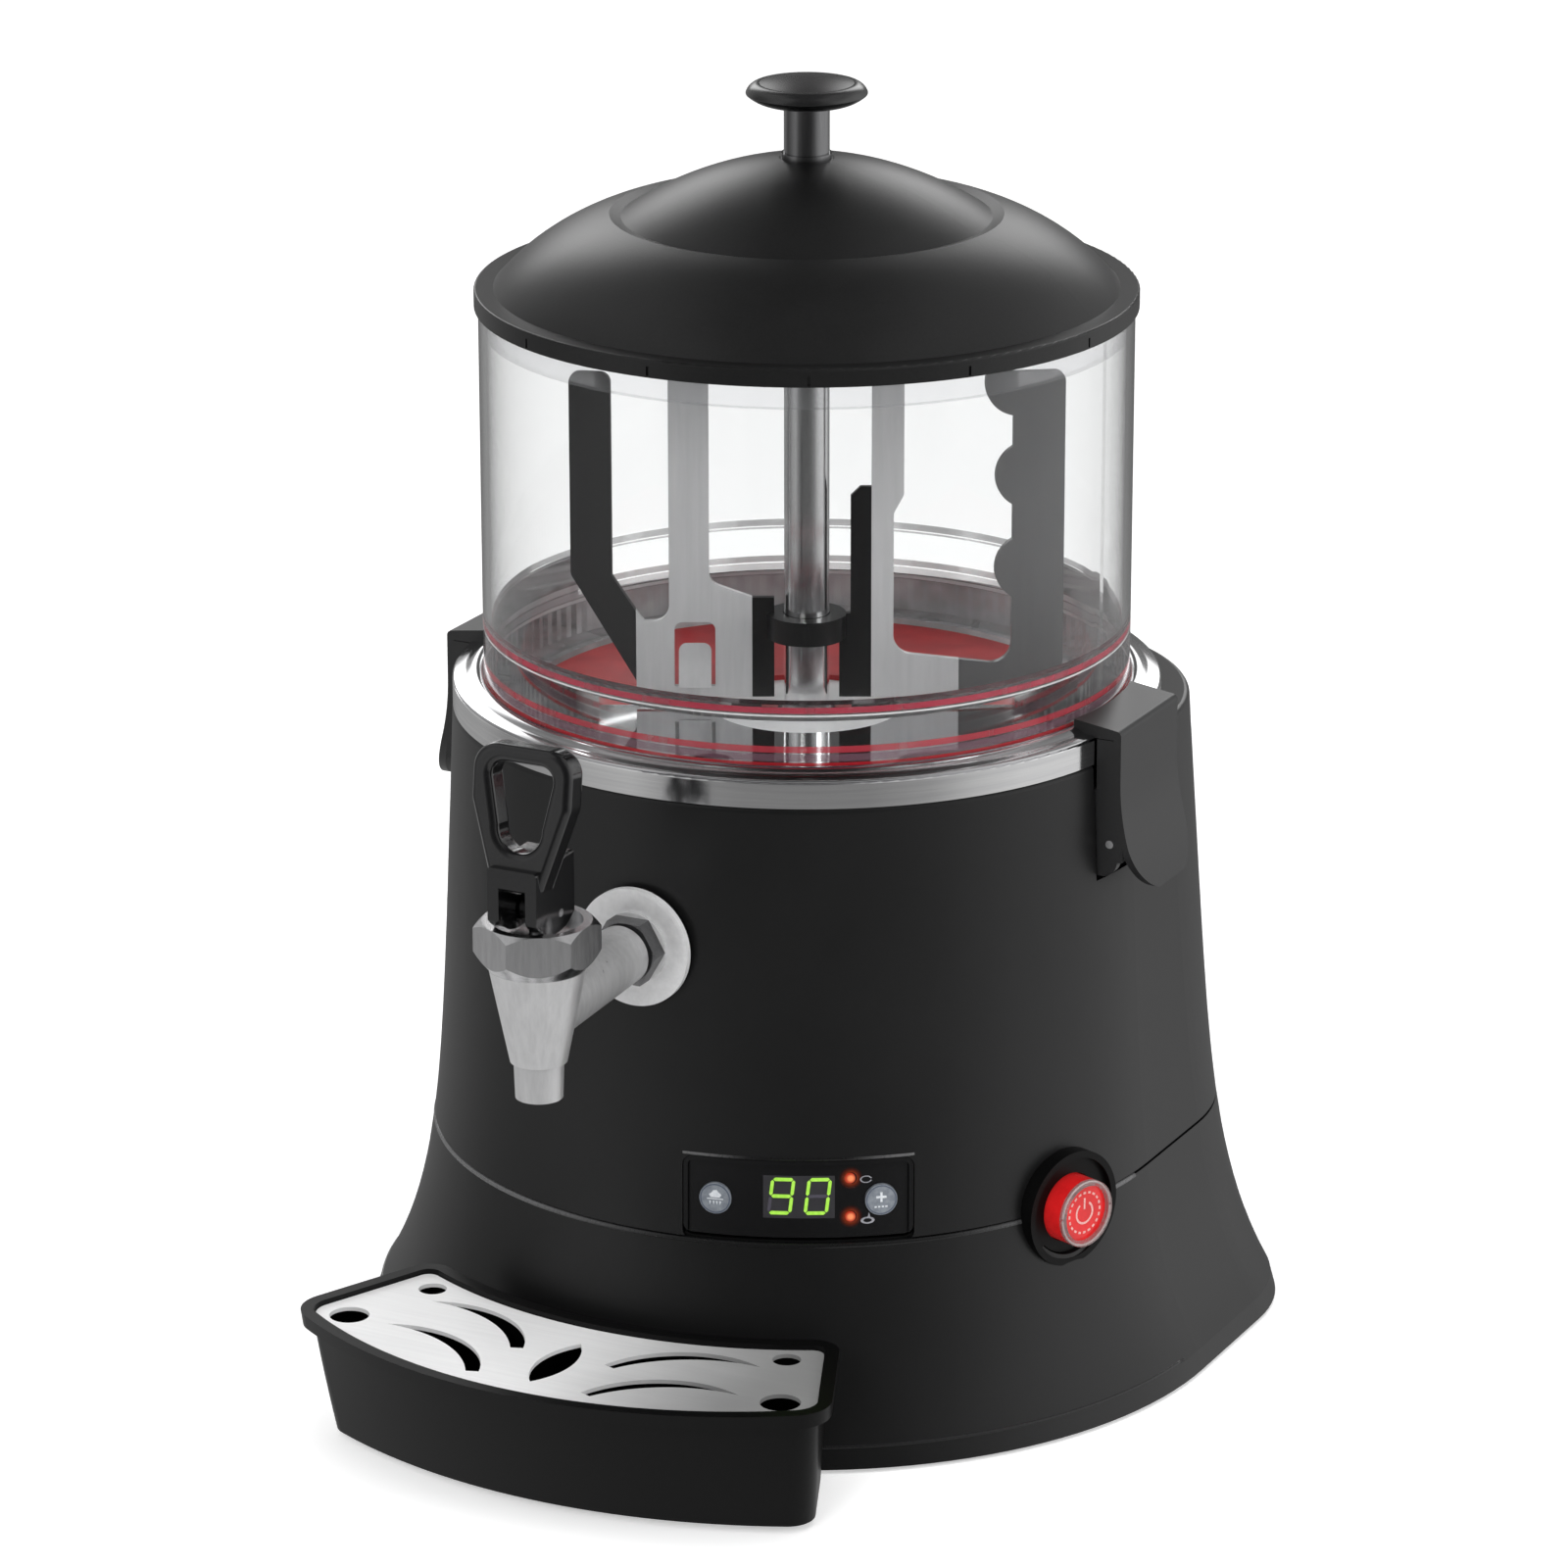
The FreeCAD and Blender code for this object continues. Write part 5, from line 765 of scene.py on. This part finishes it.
# thin solid plates with the given outlines, lying on a face
def stamped(name, face, outlines, material, lift, sink=0.10):
    points, faces = [], []
    for outline in outlines:
        first = len(points)
        count = len(outline)
        points += [face.spot(side, rise, lift) for side, rise in outline]
        points += [face.spot(side, rise, -sink) for side, rise in outline]
        faces.append(tuple(range(first, first + count)))
        faces.append(tuple(range(first + 2 * count - 1, first + count - 1, -1)))
        for step in range(count):
            after = (step + 1) % count
            faces.append((first + step, first + count + step, first + count + after, first + after))
    return newMesh(name, points, faces, material)


# a flat ring or arc as a row of four-sided outlines
def ringStrips(centre, outer, inner, count, start=0.0, sweep=360.0, squeeze=1.0):
    pieces = []
    for step in range(count):
        angles = [math.radians(start + sweep * (step + part) / count) for part in (0, 1)]
        corners = [(outer, angles[0]), (outer, angles[1]), (inner, angles[1]), (inner, angles[0])]
        pieces.append([(centre[0] + reach * math.cos(angle), centre[1] + reach * math.sin(angle) * squeeze)
                       for reach, angle in corners])
    return pieces


# a round bead along a path of points in mm
def sweptBead(name, path, radius, material, closed=False, sides=8):
    points, faces = [], []
    count = len(path)
    for step, place in enumerate(path):
        before = path[(step - 1) % count] if closed or step else path[0]
        after = path[(step + 1) % count] if closed or step < count - 1 else path[-1]
        along = (after - before).normalized()
        side = along.cross(Vector((0, 0, 1)))
        side = side.normalized() if side.length > 1e-6 else Vector((1, 0, 0))
        up = side.cross(along).normalized()
        for turn in range(sides):
            angle = 2 * math.pi * turn / sides
            points.append((place + (side * math.cos(angle) + up * math.sin(angle)) * radius) * mm)
    rows = count if closed else count - 1
    for step in range(rows):
        for turn in range(sides):
            low = step * sides
            high = ((step + 1) % count) * sides
            nextTurn = (turn + 1) % sides
            faces.append((low + turn, low + nextTurn, high + nextTurn, high + turn))
    if not closed:
        faces.append(tuple(range(sides - 1, -1, -1)))
        faces.append(tuple(range((count - 1) * sides, count * sides)))
    return newMesh(name, points, faces, material, True)


printGrain = {"scale": 2600.0, "roughSpread": 0.08}
printsAndHighlight = {
    # dark and light colour, roughness
    "iconGrey": ((0.24, 0.24, 0.27), (0.40, 0.40, 0.43), 0.40),
    "buttonMark": ((0.66, 0.70, 0.75), (0.88, 0.90, 0.93), 0.35),
    "buttonLine": ((0.07, 0.09, 0.13), (0.12, 0.14, 0.19), 0.40),
    "ghostGrey": ((0.070, 0.064, 0.085), (0.095, 0.088, 0.115), 0.32),
    "powerMark": ((0.80, 0.30, 0.28), (0.95, 0.62, 0.58), 0.25),
    # a painted highlight: the pale ring round the power lens stands for light on its edge
    "paintedLensHighlight": ((0.80, 0.70, 0.68), (0.95, 0.88, 0.86), 0.18),
}


def palePrintAndHighlight(name, dark, light, rough):
    material, paint = newPaint(name)
    grain = paint.noise(printGrain["scale"], 3.0, 0.6)
    paint.surface(color=paint.mix(grain.ramp(*contrast), dark, light),
                  rough=rough + grain * printGrain["roughSpread"])
    return material


halo = {"rings": (2.15, 2.7, 3.4, 4.4), "steps": 24, "lift": 0.06, "cloudScale": 500.0, "fading": 1.6,
        "color": (0.02, 0.004, 0.002), "rough": 0.4,
        "glowDark": (0.85, 0.09, 0.02), "glowLight": (1.0, 0.14, 0.03), "glowStrength": 0.20}


def haloGlow():
    material, paint = newPaint("lampHalo")
    fade = paint.node("ShaderNodeAttribute", {"attribute_name": "fade"}, None, "Fac")
    cloud = paint.noise(halo["cloudScale"], 2.0, 0.5)
    glow = paint.shaded(color=halo["color"], rough=halo["rough"], glowStrength=halo["glowStrength"],
                        glow=paint.mix(cloud, halo["glowDark"], halo["glowLight"]))
    paint.finish(paint.blend(fade ** halo["fading"], paint.clear(), glow))
    return material


materials.update({name: palePrintAndHighlight(name, *look) for name, look in printsAndHighlight.items()})
materials["lampHalo"] = haloGlow()

panel = {
    "bearing": 25.35, "height": 93.4, "digitHeight": 95.4,
    "segment": {"width": 1.2, "half": 3.75, "tall": 12.3, "slant": 0.12, "gap": 0.24},
    "digits": [(-6.0, "abcdfg"), (7.0, "abcdef")],
    "digitLift": 0.30, "ghostLift": 0.10, "digitSink": 0.05,
    # icons: an oval ring, and a cup's ring with a wisp above it
    "oval": {"centre": (24.1, 7.7), "outer": 2.15, "inner": 1.65, "squeeze": 0.62,
             "start": 15.0, "sweep": 330.0, "steps": 20},
    "cup": {"centre": (24.7, -6.8), "outer": 2.5, "inner": 1.5, "squeeze": 0.5, "steps": 18, "drop": 0.6,
            "wisp": [(-0.1, 0.2), (1.1, 0.2), (0.5, 2.3)]},
    "iconLift": 0.08,
    "lamps": [(18.7, 8.4), (18.7, -5.7)],
}

buttons = {
    "places": {"left_button": -29.8, "right_button": 29.8},
    "rimOuter": 5.55, "rimInner": 5.05, "rimSteps": 36, "rimLift": 0.06, "markLift": 0.08,
    # a cross over a row of dashes, and a mound over a bar and a row of drops
    "marks": {
        "right_button": [[(-0.42, -0.8), (0.42, -0.8), (0.42, 2.9), (-0.42, 2.9)],
                         [(-1.85, 0.65), (-0.42, 0.65), (-0.42, 1.5), (-1.85, 1.5)],
                         [(0.42, 0.65), (1.85, 0.65), (1.85, 1.5), (0.42, 1.5)]]
                        + [[(start, -2.9), (start + 0.8, -2.9), (start + 0.8, -2.3), (start, -2.3)]
                           for start in (-2.5, -1.2, 0.1, 1.4)],
        "left_button": [[(-1.6, 0.4), (1.6, 0.4), (2.3, 1.4), (1.2, 2.4),
                         (0.6, 3.3), (-0.7, 3.1), (-1.3, 2.2), (-2.3, 1.5)]]
                       + [[(start, -1.0), (start + 0.7, -1.0), (start + 0.35, -2.4)]
                          for start in (-2.2, -0.9, 0.3, 1.5)]
                       + [[(-3.0, -0.35), (3.0, -0.35), (3.0, 0.0), (-3.0, 0.0)]],
    },
}


# the seven bars of one digit, each a six-sided outline, by letter
def digitSegments(centre, look):
    wide, tall, slant = look["half"], look["tall"] / 2, look["slant"]
    width, gap = look["width"] / 2, look["gap"]
    joints = {"topLeft": (-wide, tall), "topRight": (wide, tall), "midLeft": (-wide, 0),
              "midRight": (wide, 0), "lowLeft": (-wide, -tall), "lowRight": (wide, -tall)}
    bars = {"a": ("topLeft", "topRight"), "b": ("topRight", "midRight"), "c": ("midRight", "lowRight"),
            "d": ("lowLeft", "lowRight"), "e": ("midLeft", "lowLeft"), "f": ("topLeft", "midLeft"),
            "g": ("midLeft", "midRight")}
    outlines = {}
    for letter, (start, end) in bars.items():
        first, last = Vector(joints[start]), Vector(joints[end])
        along = (last - first).normalized()
        side = Vector((-along.y, along.x)) * width
        first = first + along * gap
        last = last - along * gap
        corners = [first, first + along * width + side, last - along * width + side, last,
                   last - along * width - side, first + along * width - side]
        outlines[letter] = [(centre + corner.x + corner.y * slant, corner.y) for corner in corners]
    return outlines


def makeDisplay():
    face = Face(["display_window"], panel["bearing"], panel["digitHeight"])
    lit, ghost = [], []
    for centre, letters in panel["digits"]:
        for letter, outline in digitSegments(centre, panel["segment"]).items():
            (lit if letter in letters else ghost).append(outline)
    sink = panel["digitSink"]
    item = stamped("displayDigits", face, lit, materials["digitGreen"], panel["digitLift"], sink)
    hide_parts("display_digits")
    keep(item, "root")
    item = stamped("displayGhosts", face, ghost, materials["ghostGrey"], panel["ghostLift"], sink)
    keep(item, "root")


def makePanelMarks():
    face = Face(["panel_bezel", "panel_lamps"], panel["bearing"], panel["height"])
    oval, cup = panel["oval"], panel["cup"]
    icons = ringStrips(oval["centre"], oval["outer"], oval["inner"], oval["steps"], oval["start"],
                       oval["sweep"], oval["squeeze"])
    side, rise = cup["centre"]
    icons += ringStrips((side, rise - cup["drop"]), cup["outer"], cup["inner"], cup["steps"],
                        squeeze=cup["squeeze"])
    icons.append([(side + along, rise + up) for along, up in cup["wisp"]])
    keep(stamped("panelIcons", face, icons, materials["iconGrey"], panel["iconLift"]), "root")
    points, faces, values = [], [], []
    rings, steps = halo["rings"], halo["steps"]
    last = len(rings) - 1
    for side, rise in panel["lamps"]:
        first = len(points)
        for number, reach in enumerate(rings):
            for step in range(steps):
                angle = 2 * math.pi * step / steps
                points.append(face.spot(side + reach * math.cos(angle), rise + reach * math.sin(angle),
                                        halo["lift"]))
                values.append(1.0 - number / last)
        for number in range(last):
            for step in range(steps):
                after = (step + 1) % steps
                low, high = first + number * steps, first + (number + 1) * steps
                faces.append((low + step, high + step, high + after, low + after))
    discs = newMesh("lampHalos", points, faces, materials["lampHalo"])
    layer = discs.data.attributes.new("fade", "FLOAT", "POINT")
    layer.data.foreach_set("value", values)
    keep(discs, "root")


def makeButtonMarks():
    for name, side in buttons["places"].items():
        bearing = panel["bearing"] + math.degrees(math.asin(side / bodyRadius(panel["height"])))
        face = Face([name], bearing, panel["height"])
        rim = ringStrips((0, 0), buttons["rimOuter"], buttons["rimInner"], buttons["rimSteps"])
        item = stamped(name + "Rim", face, rim, materials["buttonLine"], buttons["rimLift"])
        keep(item, name)
        marks = buttons["marks"][name]
        item = stamped(name + "Mark", face, marks, materials["buttonMark"], buttons["markLift"])
        keep(item, name)


power = {
    "bearing": 69.0, "height": 78.5, "dashCount": 20, "dashCircle": 7.6, "dash": (1.25, 0.8, 0.25),
    "ringRadius": 4.4, "ringWidth": 0.8, "ringStart": 125.0, "ringSweep": 290.0, "ringSteps": 26,
    "signLift": 0.10,
    "bar": [(-0.4, 1.4), (0.4, 1.4), (0.4, 5.6), (-0.4, 5.6)],
    "lensRadius": 12.3, "lensBead": 0.42, "lensFace": 149.6, "lensSteps": 72,
}


# dashes set round a circle, each turned to face its middle
def dashTree():
    tree = bpy.data.node_groups.new("dashRing", "GeometryNodeTree")
    tree.interface.new_socket("Geometry", in_out="OUTPUT", socket_type="NodeSocketGeometry")
    for name, kind in (("Count", "NodeSocketInt"), ("Radius", "NodeSocketFloat"),
                       ("Dash size", "NodeSocketVector"), ("Finish", "NodeSocketMaterial")):
        tree.interface.new_socket(name, in_out="INPUT", socket_type=kind)
    nodes, links = tree.nodes, tree.links
    given, result = nodes.new("NodeGroupInput"), nodes.new("NodeGroupOutput")
    circle = nodes.new("GeometryNodeMeshCircle")
    dash = nodes.new("GeometryNodeMeshCube")
    tangent = nodes.new("FunctionNodeAlignRotationToVector")
    place = nodes.new("GeometryNodeInputPosition")
    instances = nodes.new("GeometryNodeInstanceOnPoints")
    real = nodes.new("GeometryNodeRealizeInstances")
    paint = nodes.new("GeometryNodeSetMaterial")
    tangent.axis = "Y"
    tangent.pivot_axis = "Z"
    for source, output, target, entry in (
            (given, "Count", circle, "Vertices"), (given, "Radius", circle, "Radius"),
            (given, "Dash size", dash, "Size"), (place, "Position", tangent, "Vector"),
            (circle, "Mesh", instances, "Points"), (dash, "Mesh", instances, "Instance"),
            (tangent, "Rotation", instances, "Rotation"), (instances, "Instances", real, "Geometry"),
            (real, "Geometry", paint, "Geometry"), (given, "Finish", paint, "Material"),
            (paint, "Geometry", result, "Geometry")):
        links.new(source.outputs[output], target.inputs[entry])
    return tree


# run a node tree on an empty mesh and keep the result as a plain piece in its place
def grown(name, tree, values, turn, material):
    holder = bpy.data.objects.new(name + "Seed", bpy.data.meshes.new(name + "Seed"))
    bpy.context.scene.collection.objects.link(holder)
    modifier = holder.modifiers.new("grow", "NODES")
    modifier.node_group = tree
    for socket in tree.interface.items_tree:
        if socket.in_out == "INPUT" and socket.name in values:
            modifier[socket.identifier] = values[socket.name]
    graph = bpy.context.evaluated_depsgraph_get()
    graph.update()
    mesh = bpy.data.meshes.new_from_object(holder.evaluated_get(graph))
    holder.modifiers.clear()
    bpy.data.objects.remove(holder)
    mesh.transform(turn)
    mesh.materials.clear()
    mesh.materials.append(material)
    mesh.name = name
    item = bpy.data.objects.new(name, mesh)
    bpy.context.scene.collection.objects.link(item)
    return item


def makePowerMarks():
    face = Face(["power_button"], power["bearing"], power["height"])
    centre = face.spot(0.0, 0.0, 0.0)
    frameTurn = Matrix((face.across, Vector((0, 0, 1)), face.out)).transposed().to_4x4()
    values = {"Count": power["dashCount"], "Radius": power["dashCircle"] * mm,
              "Dash size": Vector(power["dash"]) * mm, "Finish": materials["powerMark"]}
    turn = Matrix.Translation(centre) @ frameTurn
    dashes = grown("powerDashes", dashTree(), values, turn, materials["powerMark"])
    keep(dashes, "power_button")
    ring = power["ringRadius"]
    marks = ringStrips((0, 0), ring, ring - power["ringWidth"], power["ringSteps"], power["ringStart"],
                       power["ringSweep"])
    marks.append(power["bar"])
    item = stamped("powerSign", face, marks, materials["powerMark"], power["signLift"])
    keep(item, "power_button")
    # a pale bead round the lens, a painted highlight of its edge
    path = []
    reach = power["lensRadius"] - power["lensBead"]
    middle = face.out * (power["lensFace"] - power["lensBead"])
    for step in range(power["lensSteps"]):
        angle = 2 * math.pi * step / power["lensSteps"]
        path.append(middle + face.across * (reach * math.cos(angle))
                    + Vector((0, 0, power["height"] + reach * math.sin(angle))))
    bead = sweptBead("paintedLensHighlight", path, power["lensBead"], materials["paintedLensHighlight"], True)
    keep(bead, "power_button")


dish = {
    # section of the steel shelf that runs from the rim up to the bowl's foot: radius and height in mm
    "shelf": [(129.6, 248.05), (129.9, 248.5), (129.3, 248.9), (126.0, 249.3), (124.6, 249.9), (123.2, 250.8),
              (121.4, 251.3), (119.6, 251.2), (118.8, 250.7), (118.75, 250.2), (121.0, 250.2), (121.5, 248.4),
              (122.5, 248.05)],
    "turns": 160,
}


# a closed ring turned round the upright axis from a closed section
def lathed(name, section, turns, material):
    points, faces = [], []
    count = len(section)
    for turn in range(turns):
        angle = 2 * math.pi * turn / turns
        points += [Vector((reach * math.cos(angle), reach * math.sin(angle), height)) * mm
                   for reach, height in section]
    for turn in range(turns):
        first, after = turn * count, ((turn + 1) % turns) * count
        for step in range(count):
            beside = (step + 1) % count
            faces.append((first + step, first + beside, after + beside, after + step))
    return newMesh(name, points, faces, material, True)


trim = {
    # beads laid round the front: height, radius, how far proud of the housing, finish
    "beads": [("seamBead", 77.5, 1.1, 0.25, "seamEdge"), ("lowerBead", 9.0, 0.8, 0.3, "edgeGloss")],
    "reach": (-86.0, 86.0), "step": 1.5, "sides": 10,
    "panelTop": 109.6, "panelHalf": 41.2, "panelBead": 0.7, "panelProud": 0.3, "panelSteps": 40,
}


def makeTrim():
    first, last = trim["reach"]
    steps = int((last - first) / trim["step"])
    for name, height, radius, proud, finish in trim["beads"]:
        path = [bodyPoint(first + (last - first) * step / steps, height, proud - radius)
                for step in range(steps + 1)]
        keep(sweptBead(name, path, radius, materials[finish], sides=trim["sides"]), "root")
    shelf = lathed("dishShelf", dish["shelf"], dish["turns"], materials["polishedRim"])
    keep(shelf, "root")
    half = math.degrees(math.asin(trim["panelHalf"] / bodyRadius(trim["panelTop"])))
    steps = trim["panelSteps"]
    path = [bodyPoint(panel["bearing"] - half + 2 * half * step / steps, trim["panelTop"],
                      trim["panelProud"] - trim["panelBead"]) for step in range(steps + 1)]
    # the panel's top bead carries a painted highlight towards its ends
    bead = sweptBead("panelBead", path, trim["panelBead"], materials["panelEdge"], sides=trim["sides"])
    keep(bead, "root")


makeDisplay()
makePanelMarks()
makeButtonMarks()
makePowerMarks()
makeTrim()
print("details are on")
